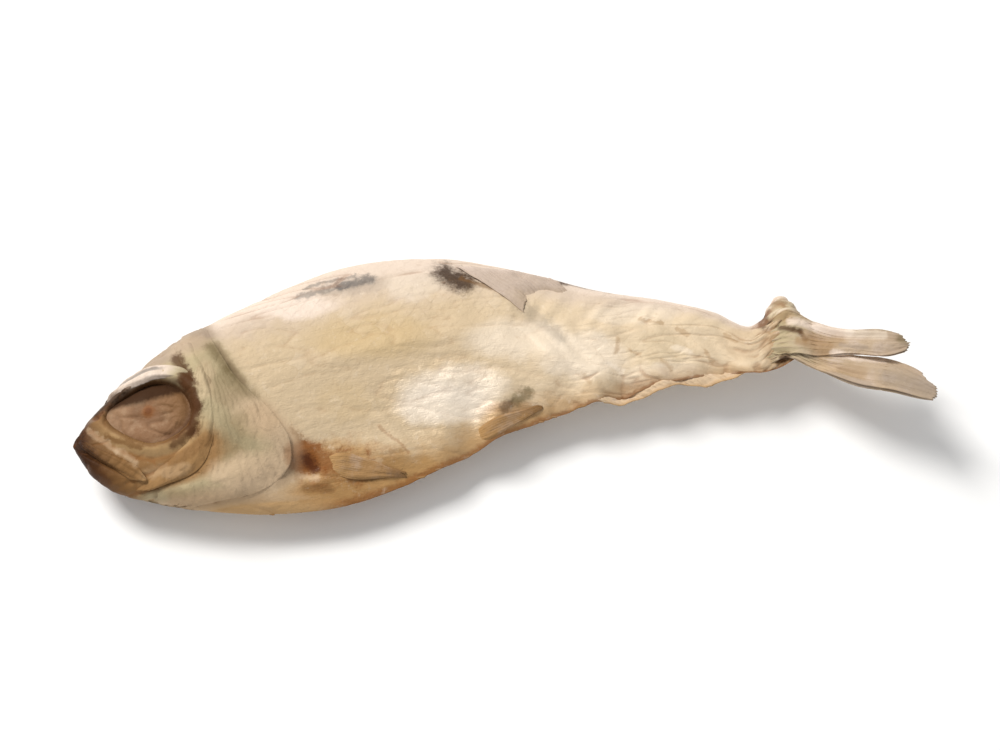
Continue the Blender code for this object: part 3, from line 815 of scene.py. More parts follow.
def make_cheek(side, sizes, material):
    """The plate between the eye and the gill cover."""
    def lift(across, up, station, height):
        x, y = station * TOTAL_LENGTH / MM, height / MM
        sunk = -0.50 * MM * (1 - smooth(0.0, 0.34, across))
        edge = smooth(0.72, 1.0, across)
        flush = mix(0.0, -0.14, smooth(0.35, 0.70, up)) * MM
        waves = 0.11 * MM * unevenness(x / 1.7, y / 2.2, 53) + 0.09 * MM * creases(x / 1.7, y / 2.6, 59)
        raised = 0.08 * MM + sunk + waves + CHEEK_STEP * smooth(0.1, 0.7, across)
        return mix(raised, flush + 0.5 * waves, edge)

    make_plate("cheek_" + SIDES[side], side, CHEEK_ROWS,
               lambda h: through(CHEEK_FRONT, h), lambda h: through(CHEEK_EDGE, h),
               lift, sizes, material)


def socket_point(angle, reach):
    """Along and height of a point of the eye's oval, by its angle from the rear and its reach."""
    cosine, sine = np.cos(angle), np.sin(angle)
    ahead = cosine < 0
    power = np.where(ahead, EYE_POINT, 2.0)
    half = np.where(ahead, EYE_FRONT, EYE_REAR)
    size = (np.abs(cosine) ** power + np.abs(sine) ** power) ** (-1 / power)
    along = EYE_STATION * TOTAL_LENGTH + half * cosine * size * reach
    return along, EYE_HEIGHT + EYE_HALF_HEIGHT * sine * size * reach


def bare_head(station, height):
    """The head's surface as if the eye's socket were filled."""
    along = station * TOTAL_LENGTH
    return plate_rise(along, height) + mouth_relief(along, height)


def make_eye(side, material):
    """A shrunken eyeball: a low, crumpled dome whose middle fell in, set deep in its socket."""
    shape = bmesh.new()
    bmesh.ops.create_uvsphere(shape, u_segments=128, v_segments=72, radius=1.0)
    ball = np.array([vertex.co for vertex in shape.verts])
    angle = np.arctan2(ball[:, 1], ball[:, 0])
    polar = np.arccos(np.clip(ball[:, 2], -1, 1)) / np.pi
    front = polar <= 0.5
    reach = np.where(front, polar * 2, (1 - polar) * 2) ** 0.8
    along, height = socket_point(angle, reach * 0.99)
    x, y = (along - EYE_STATION * TOTAL_LENGTH) / MM, (height - EYE_HEIGHT) / MM
    edge = mix(-0.34, -0.90, smooth(-0.2, 0.9, np.sin(angle) + 0.35 * np.cos(angle))) * MM
    fallen = -0.30 * MM * bump(np.hypot(x + 0.6, (y + 0.1) * 1.25), 1.5)
    fallen = fallen + 0.16 * MM * bump(np.hypot(x + 0.5, y), 0.55)
    gutter = -0.18 * MM * bump(reach - 0.84, 0.10) * smooth(-0.2, 0.9, np.cos(angle))
    folds = 0.15 * MM * creases(x / 3.4 + 0.25 * y, y / 2.1, 61)
    folds = folds + 0.05 * MM * creases(x / 1.2, y / 1.3 - 0.3 * x, 62)
    lumps = 0.06 * MM * unevenness(x / 1.7, y / 1.3, 63) + 0.015 * MM * unevenness(x / 0.45, y / 0.45, 64)
    inside = smooth(0.05, 0.35, reach) * (1 - 0.6 * smooth(0.8, 1.0, reach))
    deep = fallen + gutter + (folds + lumps) * inside
    top = mix(-0.06 * MM, edge, reach ** 2.4) + deep
    lift = np.where(front, top, -1.6 * MM + 0.3 * MM * reach)
    station = along / TOTAL_LENGTH
    places = lifted_place(station, turn_at(station, height, side), lift, bare_head)
    move(shape, pressed(places, EYE_LEVEL))
    bmesh.ops.recalc_face_normals(shape, faces=shape.faces)
    piece = new_piece("eye_" + SIDES[side], shape, material)
    tag(piece.data, reach=reach, behind=x, above=y, deep=deep / MM)


def make_eyelid(side, material):
    """The dried lid: a shrivelled roll along the top of the socket, which melts into the brow above it."""
    shape, run, across = grid_shape(120, 36)
    angle = mix(0.25, 0.86, run) * math.pi
    swell = np.sin(np.pi * np.clip(run, 0.001, 0.999)) ** 0.7
    free = 0.97 - 0.07 * bump(run - 0.45, 0.25) + 0.025 * unevenness(run * 6, 0 * run, 67)
    reach = mix(1.46, mix(1.12, free, swell), across)
    along, height = socket_point(angle, reach)
    folds = 0.08 * MM * creases(run * 5, across * 1.7, 71) + 0.05 * MM * unevenness(run * 8, across * 3, 72)
    crescent = -0.20 * MM * bump(across - 0.52 + 0.10 * np.sin(3 * run), 0.11) * bump(run - 0.55, 0.28)
    roll = 0.20 * MM * bump(across - 0.80, 0.17)
    lift = RIM_HEIGHT * 1.25 + (roll + crescent + folds) * swell - 0.42 * MM * smooth(0.86, 1.0, across)
    lift = lift - 0.85 * MM * (1 - smooth(0.0, 0.30, across)) - 0.75 * MM * (1 - smooth(0.0, 0.55, swell))
    station = along / TOTAL_LENGTH
    places = lifted_place(station, turn_at(station, height, side), lift, bare_head)
    move(shape, pressed(places, LID_LEVEL))
    piece = new_piece("eyelid_" + SIDES[side], shape, material, LID_THICKNESS)
    tag(piece.data, run=run, across=across)


# Upper jaw blade, from the snout to below the eye: (share of its length, station, height, width)
UPPER_JAW = ((0.0, 0.010, 0.1 * MM, 0.50 * MM), (0.3, 0.030, -1.35 * MM, 0.75 * MM),
             (0.7, 0.060, -3.15 * MM, 1.35 * MM), (1.0, 0.088, -4.75 * MM, 1.90 * MM))


def make_jaw(side, sizes, material):
    """The upper jaw's blade, which widens to a rounded paddle at its rear end."""
    shape, run, across = grid_shape(48, 20)
    end = 1 - 0.10 * (2 * across - 1) ** 2 * smooth(0.6, 1.0, run)
    at = run * end
    centre_station, centre_height = through(UPPER_JAW, at, 1), through(UPPER_JAW, at, 2)
    width = through(UPPER_JAW, at, 3) * (1 - 0.55 * smooth(0.88, 1.0, run) ** 2)
    shift = (across - 0.5) * width
    station = centre_station + 0.50 * shift / TOTAL_LENGTH
    height = centre_height + 0.86 * shift
    crown = 0.20 * MM * np.sin(math.pi * across) ** 0.6
    ridge = 0.05 * MM * np.sin(across * 15 + 3 * run) + 0.04 * MM * unevenness(run * 12, across * 3, 73)
    lift = 0.02 * MM + crown + ridge - 0.25 * MM * (1 - smooth(0.0, 0.12, run))
    turn = turn_at(station, height, side)
    move(shape, pressed(lifted_place(station, turn, lift, bare_head), JAW_LEVEL))
    piece = new_piece("upper_jaw_" + SIDES[side], shape, material, sizes.plate_thickness)
    surface_tags(piece.data, station, turn, sizes)
    tag(piece.data, dip=0.0)


# ---------------------------------------------------------------- fins
def shrivel(ray, out):
    """How a dried membrane crinkles: folds across the rays, in metres. ray counts the rays."""
    folds = 0.13 * MM * unevenness(ray / 2.3, out * 6.0 + 0.3 * ray, 91)
    folds = folds + 0.07 * MM * creases(ray / 3.1, out * 5.0, 93)
    return folds * smooth(0.05, 0.35, out)


def make_fin(name, place, sizes, material, *, rays, steps, fray, notch, stout):
    """A membrane with a frayed free edge, notched between the rays that run through it.

    place(ray, out, lift) gives a point of the fin: ray runs from 0 to 1 over all rays, and out from the
    root to the edge. fray and notch are shares of a ray's length, and stout scales the rays' radius.
    """
    shape, ray, out = grid_shape(*steps)
    between = np.abs(np.sin(math.pi * (rays - 1) * ray))
    torn = notch * between + fray * 0.65 * np.clip(unevenness(ray * rays * 0.45, 0 * ray, 79 + rays), 0, 1)
    sag = stout * (0.05 * MM * between - shrivel(ray * rays, out))
    move(shape, pressed(place(ray, out * (1 - torn), -sag), FIN_LEVEL))
    skin = new_piece(name + "_membrane", shape, material, sizes.membrane_thickness)
    tag(skin.data, run=out, bone=1 - np.clip(between * 2.2, 0, 1) * 0.9, pick=ray)

    shape = bmesh.new()
    runs, picks = [], []
    for count in range(rays):
        at = count / (rays - 1)
        length = 1 - 0.6 * fray * max(float(unevenness(at * rays * 0.45, 0.0, 79 + rays)), 0.0)
        length += 0.02 * float(unevenness(at * 50, 0.3, 83))
        share = np.linspace(0.0, min(length, 1.0), RAY_STEPS + 1)
        bent = at + 0.22 / rays * unevenness(share * 3.1, at * 37, 87) * smooth(0.1, 0.5, share)
        lift = stout * shrivel(bent * rays, share) + 0.01 * MM
        line = pressed(place(np.clip(bent, 0.012, 0.988), share, lift), RAY_LEVEL)
        radius = stout * sizes.ray_radius * mix(1.0, 0.30, share)
        radius = radius * (0.75 + 0.4 * float(unevenness(at * 23, 0.7, 89)))
        steps = strand(shape, line, radius, sides=7)
        runs += list(share[steps])
        picks += [at] * len(steps)
    bmesh.ops.recalc_face_normals(shape, faces=shape.faces)
    bones = new_piece(name + "_rays", shape, material)
    tag(bones.data, run=np.array(runs), bone=1.0, pick=np.array(picks))


def dorsal_place(ray, out, lift):
    """Rooted along the ridge of the back and folded down over the left flank."""
    length = mix(*DORSAL_LENGTHS, ray ** 0.8) * (1 - 0.05 * np.sin(7 * ray) ** 2)
    rooted = mix(*DORSAL_ROOT, ray)
    station = rooted + DORSAL_SWEEP * out * length / TOTAL_LENGTH
    height = back_at(rooted) - 0.25 * MM - DORSAL_DROP * out * length
    crinkle = 0.15 * MM * unevenness(out * 4.5, ray * 6.0, 98) * smooth(0.1, 0.5, out)
    droop = 0.45 * MM * smooth(0.70, 1.0, out) * smooth(0.05, 0.4, ray)
    rise = mix(-0.5, 0.18, smooth(0.0, 0.25, out)) * MM + crinkle - droop
    return lifted_place(station, turn_at(station, height, 1), rise + lift)


def anal_place(ray, out, lift):
    """A low crinkled frill under the rear of the belly."""
    station = mix(*ANAL_ROOT, ray) + ANAL_SWEEP * out
    tall = (ANAL_HEIGHT + ANAL_RAGGED * np.cos(13 * ray) * np.cos(5 * ray)) * smooth(-0.05, 0.15, ray)
    tall = tall * smooth(1.0, 0.80, ray) - 0.5 * MM * smooth(0.90, 1.0, ray)
    height = belly_at(station) + 0.9 * MM - out * (0.9 * MM + tall)
    frill = 0.42 * MM * out * np.sin(17 * ray) + 0.12 * MM * np.sin(41 * ray) * out
    return lay_down(station, height, keel_wave(station, -1.0) + frill + lift)


def leaf_width(share, root, widest, tip):
    """Width of a folded fin: narrow at its root, widest a third of the way, narrow at its tip."""
    return mix(root, widest, smooth(0.0, 0.35, share)) * mix(1.0, tip / widest, smooth(0.35, 1.0, share))


def pelvic_place(side):
    """A small pointed fin folded back along the keel, on the side given."""
    def place(ray, out, lift):
        station = mix(*PELVIC_SPAN, out)
        width = leaf_width(out, *PELVIC_WIDTHS)
        height = belly_at(station) + mix(*PELVIC_ABOVE_KEEL, out) - ray * width
        rise = mix(-0.4, 0.10, smooth(0.0, 0.3, out)) * MM + 0.07 * MM * np.sin(9 * out) * smooth(0.4, 1, out)
        rise = rise - 0.14 * MM * smooth(0.75, 1.0, np.abs(2 * ray - 1)) - 0.16 * MM * smooth(0.85, 1.0, out)
        return lifted_place(station, turn_at(station, height, side), rise + lift)
    return place


def pectoral_place(side):
    """Folded back against the belly from low behind the gill cover, narrowing to a blunt tip."""
    def place(ray, out, lift):
        station = mix(*PECTORAL_SPAN, out)
        width = leaf_width(out, *PECTORAL_WIDTHS)
        height = mix(*PECTORAL_HEIGHTS, out) + (0.5 - ray) * width
        rise = mix(-0.35, 0.12, smooth(0.0, 0.30, out)) * MM + 0.06 * MM * np.sin(8 * out + 3 * ray)
        rise = rise - 0.16 * MM * smooth(0.70, 1.0, np.abs(2 * ray - 1)) - 0.16 * MM * smooth(0.85, 1.0, out)
        return lifted_place(station, turn_at(station, height, side), rise + lift)
    return place


def lobe_place(margins, lean, side):
    """One face of a shrunken lobe of the tail, between the margins that UPPER_LOBE or LOWER_LOBE gives.

    Its rays clasp the end of the flesh on the side given, and meet those of the other side behind it.
    """
    def place(ray, out, lift):
        tip = margins[-1][0] - 0.007 * (2 * ray - 1) ** 2
        station = mix(margins[0][0], tip, out)
        height = mix(through(margins, station, 1), through(margins, station, 2), ray)
        clasp = mix(flesh_out(station, height) + 0.07 * MM, 0.16 * MM, smooth(0.846, 0.900, station))
        ragged = 0.10 * unevenness(ray * 7, out * 9, 99) + 0.05 * unevenness(ray * 15, out * 15, 100)
        clasp = clasp - 0.45 * MM * (1 - smooth(0.0, 0.30, out + ragged))
        folds = LOBE_FOLD * np.sin(3.5 * math.pi * ray + 1.5 * out + 1.3 * unevenness(out * 4, ray * 2, 94))
        folds = folds * smooth(0.2, 0.5, out) * (1 - 0.5 * out)
        clasp = clasp + 0.8 * knot_relief(station, height)
        sideways = side * (clasp + lift) + folds + lean * out + LOBE_BOW * np.sin(3 * out)
        return lay_down(station, height, sideways)
    return place


def make_scutes(sizes, material):
    """Low pointed scales that overlap along the keel, each astride the edge and barely clear of the skin."""
    shape = bmesh.new()
    count = sizes.keel_scutes
    for number in range(count):
        at = number / (count - 1)
        station = mix(*SCUTE_SPAN, at) + 0.0025 * float(unevenness(at * 31, 0.0, 95))
        share = np.linspace(0.0, 1.0, 9)
        reach = SCUTE_LENGTH * (0.95 + 0.25 * float(unevenness(at * 29, 0.0, 96)))
        back = station + share * reach
        raised = mix(0.40, 0.10, smooth(0.15, 1.0, share)) - 0.12 * float(unevenness(at * 27, 0.0, 97))
        height = belly_at(back) + KEEL_INSET + raised * MM
        line = lay_down(back, height, keel_wave(back, -1.0))
        radius = SCUTE_RADIUS * np.sin(math.pi * np.clip(share * 0.84 + 0.12, 0, 1)) ** 0.7
        strand(shape, line, radius, sides=8, flatten=0.85)
    bmesh.ops.recalc_face_normals(shape, faces=shape.faces)
    piece = new_piece("keel_scutes", shape, material)
    tag(piece.data, run=0.8, bone=0.2, pick=0.3)


# ---------------------------------------------------------------- materials
class Number:
    """One value in a material. Arithmetic on it adds Math nodes."""

    def __init__(self, paint, socket):
        self.paint = paint
        self.socket = socket

    def __add__(self, other):
        return self.paint.math("ADD", self, other)

    def __sub__(self, other):
        return self.paint.math("SUBTRACT", self, other)

    def __mul__(self, other):
        return self.paint.math("MULTIPLY", self, other)

    def __truediv__(self, other):
        return self.paint.math("DIVIDE", self, other)

    def __pow__(self, other):
        return self.paint.math("POWER", self, other)

    def __rsub__(self, other):
        return self.paint.math("SUBTRACT", other, self)

    def __rtruediv__(self, other):
        return self.paint.math("DIVIDE", other, self)

    def __neg__(self):
        return self.paint.math("MULTIPLY", self, -1.0)

    def __abs__(self):
        return self.paint.math("ABSOLUTE", self)

    __radd__ = __add__
    __rmul__ = __mul__


class Paint:
    """A material and the nodes that make it."""

    def __init__(self, name):
        self.material = bpy.data.materials.new(name)
        self.material.use_nodes = True
        self.tree = self.material.node_tree
        self.shader = self.tree.nodes["Principled BSDF"]

    def node(self, kind, settings, inputs):
        """Adds a node: its settings first, then the value or link of each socket named or numbered."""
        made = self.tree.nodes.new(kind)
        for name, value in settings.items():
            setattr(made, name, value)
        for name, value in inputs.items():
            self.plug(made.inputs[name], value)
        return made

    def plug(self, socket, value):
        """Links a value to a socket, or sets it."""
        if isinstance(value, Number):
            self.tree.links.new(value.socket, socket)
        elif isinstance(value, bpy.types.NodeSocket):
            self.tree.links.new(value, socket)
        else:
            socket.default_value = value

    def math(self, operation, *values):
        """One Math node."""
        made = self.node("ShaderNodeMath", {"operation": operation}, dict(enumerate(values)))
        return Number(self, made.outputs[0])

    def attribute(self, name):
        """A number stored on the vertices."""
        return Number(self, self.node("ShaderNodeAttribute", {"attribute_name": name}, {}).outputs["Fac"])

    def axes(self, vector):
        """The x, y and z of a vector."""
        return [Number(self, axis) for axis in self.node("ShaderNodeSeparateXYZ", {}, {0: vector}).outputs]

    def level(self, place):
        """Height over the table, in millimetres."""
        return self.axes(place)[2]

    def scaled(self, vector, factor):
        """A vector times a factor."""
        made = self.node("ShaderNodeVectorMath", {"operation": "SCALE"}, {"Vector": vector, "Scale": factor})
        return made.outputs["Vector"]

    def place(self):
        """Object coordinates in millimetres."""
        return self.scaled(self.node("ShaderNodeTexCoord", {}, {}).outputs["Object"], 1 / MM)

    def vector(self, x, y, z=0.0):
        """A vector of three values."""
        return self.node("ShaderNodeCombineXYZ", {}, {0: x, 1: y, 2: z}).outputs[0]

    def noise(self, vector, scale, detail=3.0, rough=0.55):
        """Smooth noise from about -1 to 1."""
        made = self.node("ShaderNodeTexNoise", {"noise_dimensions": "3D"}, {
            "Vector": vector, "Scale": scale, "Detail": detail, "Roughness": rough})
        return (Number(self, made.outputs[0]) - 0.5) * 2.6

    def chance(self, x, y):
        """A random value from 0 to 1 for each pair of whole numbers."""
        made = self.node("ShaderNodeTexWhiteNoise", {"noise_dimensions": "3D"}, {"Vector": self.vector(x, y)})
        return Number(self, made.outputs["Value"])

    def smooth(self, low, high, value):
        """0 up to low, 1 from high, and an even bend between."""
        made = self.node("ShaderNodeMapRange", {"interpolation_type": "SMOOTHSTEP", "clamp": False},
                         {0: value, 1: low, 2: high, 3: 0.0, 4: 1.0})
        return Number(self, made.outputs[0])

    def clip(self, value):
        """The value, held between 0 and 1."""
        return self.math("MINIMUM", self.math("MAXIMUM", value, 0.0), 1.0)

    def band(self, low, high, soft, value):
        """1 between low and high, fading over a soft distance outside."""
        return self.smooth(low - soft, low, value) * self.smooth(high + soft, high, value)

    def vectors(self, operation, *values):
        """The outputs of an operation on vectors."""
        return self.node("ShaderNodeVectorMath", {"operation": operation}, dict(enumerate(values))).outputs

    def oval(self, at, centre, half, inner=0.25):
        """A soft oval patch round a centre, of these half sizes."""
        scaled = self.vectors("MULTIPLY_ADD", at, (1 / half[0], 1 / half[1], 0.0),
                              (-centre[0] / half[0], -centre[1] / half[1], 0.0))["Vector"]
        return self.smooth(1.0, inner, Number(self, self.vectors("DOT_PRODUCT", scaled, scaled)["Value"]))

    def stroke(self, at, start, end, half, fray):
        """A soft stroke between two points, of about this half width, frayed by a noise."""
        way = end[0] - start[0], end[1] - start[1], 0.0
        ahead = self.vectors("SUBTRACT", at, (*start, 0.0))["Vector"]
        done = Number(self, self.vectors("DOT_PRODUCT", ahead, way)["Value"])
        run = self.clip(done / (way[0] ** 2 + way[1] ** 2))
        aside = self.vectors("SUBTRACT", ahead, self.scaled(way, run))["Vector"]
        away = Number(self, self.vectors("LENGTH", aside)["Value"])
        return self.smooth(1.65, 0.35, away / half + fray)

    def blend(self, first, second, share):
        """Two colours, mixed by a share."""
        made = self.node("ShaderNodeMix", {"data_type": "RGBA"},
                         {0: share, 6: opaque(first), 7: opaque(second)})
        return made.outputs[2]

    def relief(self, height):
        """A bump whose height is in millimetres."""
        made = self.node("ShaderNodeBump", {}, {"Strength": 1.0, "Distance": MM, "Height": height})
        return made.outputs["Normal"]

    def surface(self, **values):
        """Sets the inputs of the shader by name, and gives the material."""
        for name, value in values.items():
            self.plug(self.shader.inputs[name.replace("_", " ").title().replace("Ior", "IOR")], value)
        return self.material


def opaque(tint):
    """A plain colour with its alpha; a link is left alone."""
    return tint if isinstance(tint, bpy.types.NodeSocket) else (*tint[:3], 1.0)


def scale_pattern(paint):
    """Tilt of the topmost scale pocket, 0 to 1, and a random value for each pocket."""
    course, row = paint.attribute("course"), paint.attribute("row")

    def one(parity):
        wrapped = paint.math("FRACT", (row - parity) / 2 + 0.5)
        across = (wrapped - 0.5) * 2
        at = course - parity / 2 + across * across * 0.5
        tilt = paint.math("FRACT", at)
        whole = paint.math("FLOOR", at)
        line = paint.math("FLOOR", (row - parity) / 2 + 0.5)
        return tilt, paint.chance(whole + 0.5 * parity, line + 0.31 * parity)

    first, first_pick = one(0.0)
    second, second_pick = one(1.0)
    top = paint.math("GREATER_THAN", first, second)
    return paint.math("MAXIMUM", first, second), top * first_pick + (1 - top) * second_pick


# Soft patches of the flank's colour, a few of them painted highlight and painted shade: (station, height,
# half length and half height in mm, colour, strength)
FLANK_PATCHES = (
    (0.352, 10.3, 8.5, 3.3, "straw", 0.80),
    # Over the belly cavity: silver-white skin, made lighter still as a painted highlight
    (0.434, 2.5, 6.6, 3.0, "shine", 0.80),
    (0.448, 4.4, 7.0, 2.8, "shine", 0.70),
    (0.520, 9.4, 7.5, 3.0, "shine", 0.50),
    (0.600, 7.0, 6.0, 3.4, "shine", 0.55),
    # Pinkish-white band below the back's edge, partly painted highlight
    (0.262, 14.8, 6.5, 2.2, "lid", 0.95),
    (0.405, 16.8, 5.0, 2.2, "shine", 0.35),
    (0.325, 17.3, 5.5, 1.9, "slate", 0.24),
    (0.320, 3.0, 5.0, 3.0, "straw", 0.35),
    (0.310, -3.9, 6.4, 3.3, "gold", 0.85),
    (0.266, -3.2, 1.8, 2.6, "rust", 0.60),
    (0.350, -5.2, 7.5, 2.2, "rust", 0.42),
    (0.385, -5.0, 6.5, 2.6, "gold", 0.85),
    (0.380, -4.2, 5.5, 1.7, "jaw", 0.35),
    (0.510, 1.3, 4.6, 1.3, "rust", 0.40),
    (0.305, -6.8, 6.5, 1.9, "rust", 0.75),
    (0.300, -6.5, 4.5, 1.4, "jaw", 0.80),
    (0.690, 7.4, 4.5, 2.6, "cover", 0.22),
    (0.690, 4.4, 7.0, 1.6, "shine", 0.30),
    (0.660, 12.0, 7.0, 1.8, "shine", 0.35),
    (0.800, 7.6, 4.5, 3.2, "cheek", 0.22),
    (0.845, 7.0, 3.8, 3.8, "cheek", 0.65),
    # Painted shade: greenish grey in the hollow on top of the tail's knot
    (0.834, 11.6, 2.6, 2.6, "cover", 0.60),
)
# The same for the head
HEAD_PATCHES = (
    (0.140, 9.6, 3.2, 1.8, "cover_edge", 0.30),
    (0.205, -4.6, 5.6, 2.2, "cover_edge", 0.80),
    (0.190, -0.6, 2.0, 3.6, "moss", 0.24),
    (0.186, 4.6, 2.4, 3.0, "moss", 0.42),
    (0.162, 5.6, 1.3, 3.0, "cover_edge", 0.35),
    (0.110, -4.0, 3.0, 1.0, "cover_edge", 0.25),
    (0.258, -3.2, 1.6, 2.2, "rust", 0.55),
    (0.215, 0.6, 2.6, 2.4, "cheek", 0.16),
)
# Marks on the flank, a few of them painted shade and painted highlight: (station and height in mm of both
# ends, half width in mm, colour, strength)
FLANK_MARKS = (
    (0.441, 18.3, 0.462, 16.9, 1.42, "umber", 0.92),
    (0.460, 17.4, 0.515, 15.0, 0.30, "jaw", 0.55),
    # Painted shade: slate in the crease below the folded dorsal fin
    (0.520, 14.6, 0.572, 9.4, 0.80, "slate", 0.30),
    (0.557, 18.2, 0.580, 17.2, 0.75, "umber", 0.80),
    (0.580, 17.2, 0.640, 15.8, 0.30, "ring", 0.55),
    (0.266, 16.1, 0.326, 17.4, 0.40, "slate", 0.60),
    (0.318, 17.2, 0.352, 17.9, 0.62, "slate", 0.80),
    (0.272, 17.3, 0.334, 18.6, 0.22, "slate", 0.55),
    (0.640, 8.8, 0.636, 7.3, 0.24, "cheek", 0.40),
    (0.654, 7.7, 0.664, 6.8, 0.22, "cheek", 0.38),
    (0.598, 4.8, 0.604, 3.8, 0.24, "cheek", 0.34),
    (0.690, 6.0, 0.700, 5.0, 0.24, "cheek", 0.34),
    (0.668, 11.2, 0.694, 10.5, 0.22, "cheek", 0.42),
    (0.712, 9.7, 0.724, 8.8, 0.22, "cheek", 0.38),
    (0.742, 6.6, 0.751, 5.6, 0.24, "cheek", 0.40),
    (0.771, 8.6, 0.780, 7.6, 0.22, "cheek", 0.38),
    (0.628, 5.9, 0.642, 5.2, 0.34, "shine", 0.42),
    (0.706, 7.4, 0.724, 6.8, 0.36, "shine", 0.36),
    (0.257, -0.8, 0.262, -3.8, 0.80, "rust", 0.50),
    (0.264, -2.9, 0.294, -3.7, 1.30, "rust", 0.80),
    (0.271, -3.2, 0.277, -4.1, 0.60, "blood", 0.84),
    (0.256, -0.2, 0.267, -1.6, 0.40, "jaw", 0.60),
    (0.267, -1.6, 0.284, -2.1, 0.42, "rust", 0.70),
    (0.268, -6.3, 0.296, -6.5, 0.42, "jaw", 0.60),
    (0.320, -5.6, 0.352, -5.2, 0.45, "jaw", 0.65),
    (0.356, 0.2, 0.388, -2.8, 0.18, "rust", 0.34),
    (0.262, -4.9, 0.281, -5.3, 0.32, "cover_edge", 0.50),
    (0.318, -4.3, 0.352, -3.9, 0.50, "cover_edge", 0.45),
    (0.500, 1.4, 0.509, 2.0, 0.50, "umber", 0.55),
    (0.517, 2.4, 0.530, 3.1, 0.62, "moss", 0.70),
    # The tail's knot: the ring and jaw strokes are painted shade in its hollows and crease, the shine stroke
    # a painted highlight on its raised fold
    (0.811, 9.4, 0.818, 11.6, 0.55, "ring", 0.75),
    (0.834, 9.3, 0.850, 8.7, 0.34, "ring", 0.70),
    (0.832, 10.7, 0.843, 10.2, 0.40, "shine", 0.30),
    (0.830, 12.6, 0.841, 11.9, 0.42, "jaw", 0.62),
    (0.828, 5.2, 0.838, 5.9, 0.40, "ring", 0.70),
)
# The same for the head
HEAD_MARKS = (
    (0.127, 8.4, 0.138, 5.7, 0.66, "ring", 0.85),
    (0.138, 5.7, 0.147, 2.6, 0.78, "ring", 0.95),
    (0.147, 2.6, 0.142, -0.1, 0.72, "ring", 0.90),
    (0.142, -0.1, 0.120, -1.4, 0.50, "ring", 0.75),
    (0.030, 3.1, 0.062, 5.6, 0.60, "umber", 0.85),
    (0.043, 0.2, 0.083, -1.4, 0.32, "jaw", 0.80),
    (0.021, 1.2, 0.055, -1.4, 0.34, "cover_edge", 0.42),
    (0.055, -1.4, 0.076, -2.9, 0.38, "cover_edge", 0.40),
    (0.006, 0.4, 0.021, -3.2, 0.95, "umber", 0.85),
    (0.021, -3.2, 0.040, -4.6, 0.55, "ring", 0.60),
    (0.168, 9.6, 0.190, 6.9, 0.85, "moss", 0.62),
    (0.190, 6.9, 0.209, 4.2, 1.00, "moss", 0.42),
)


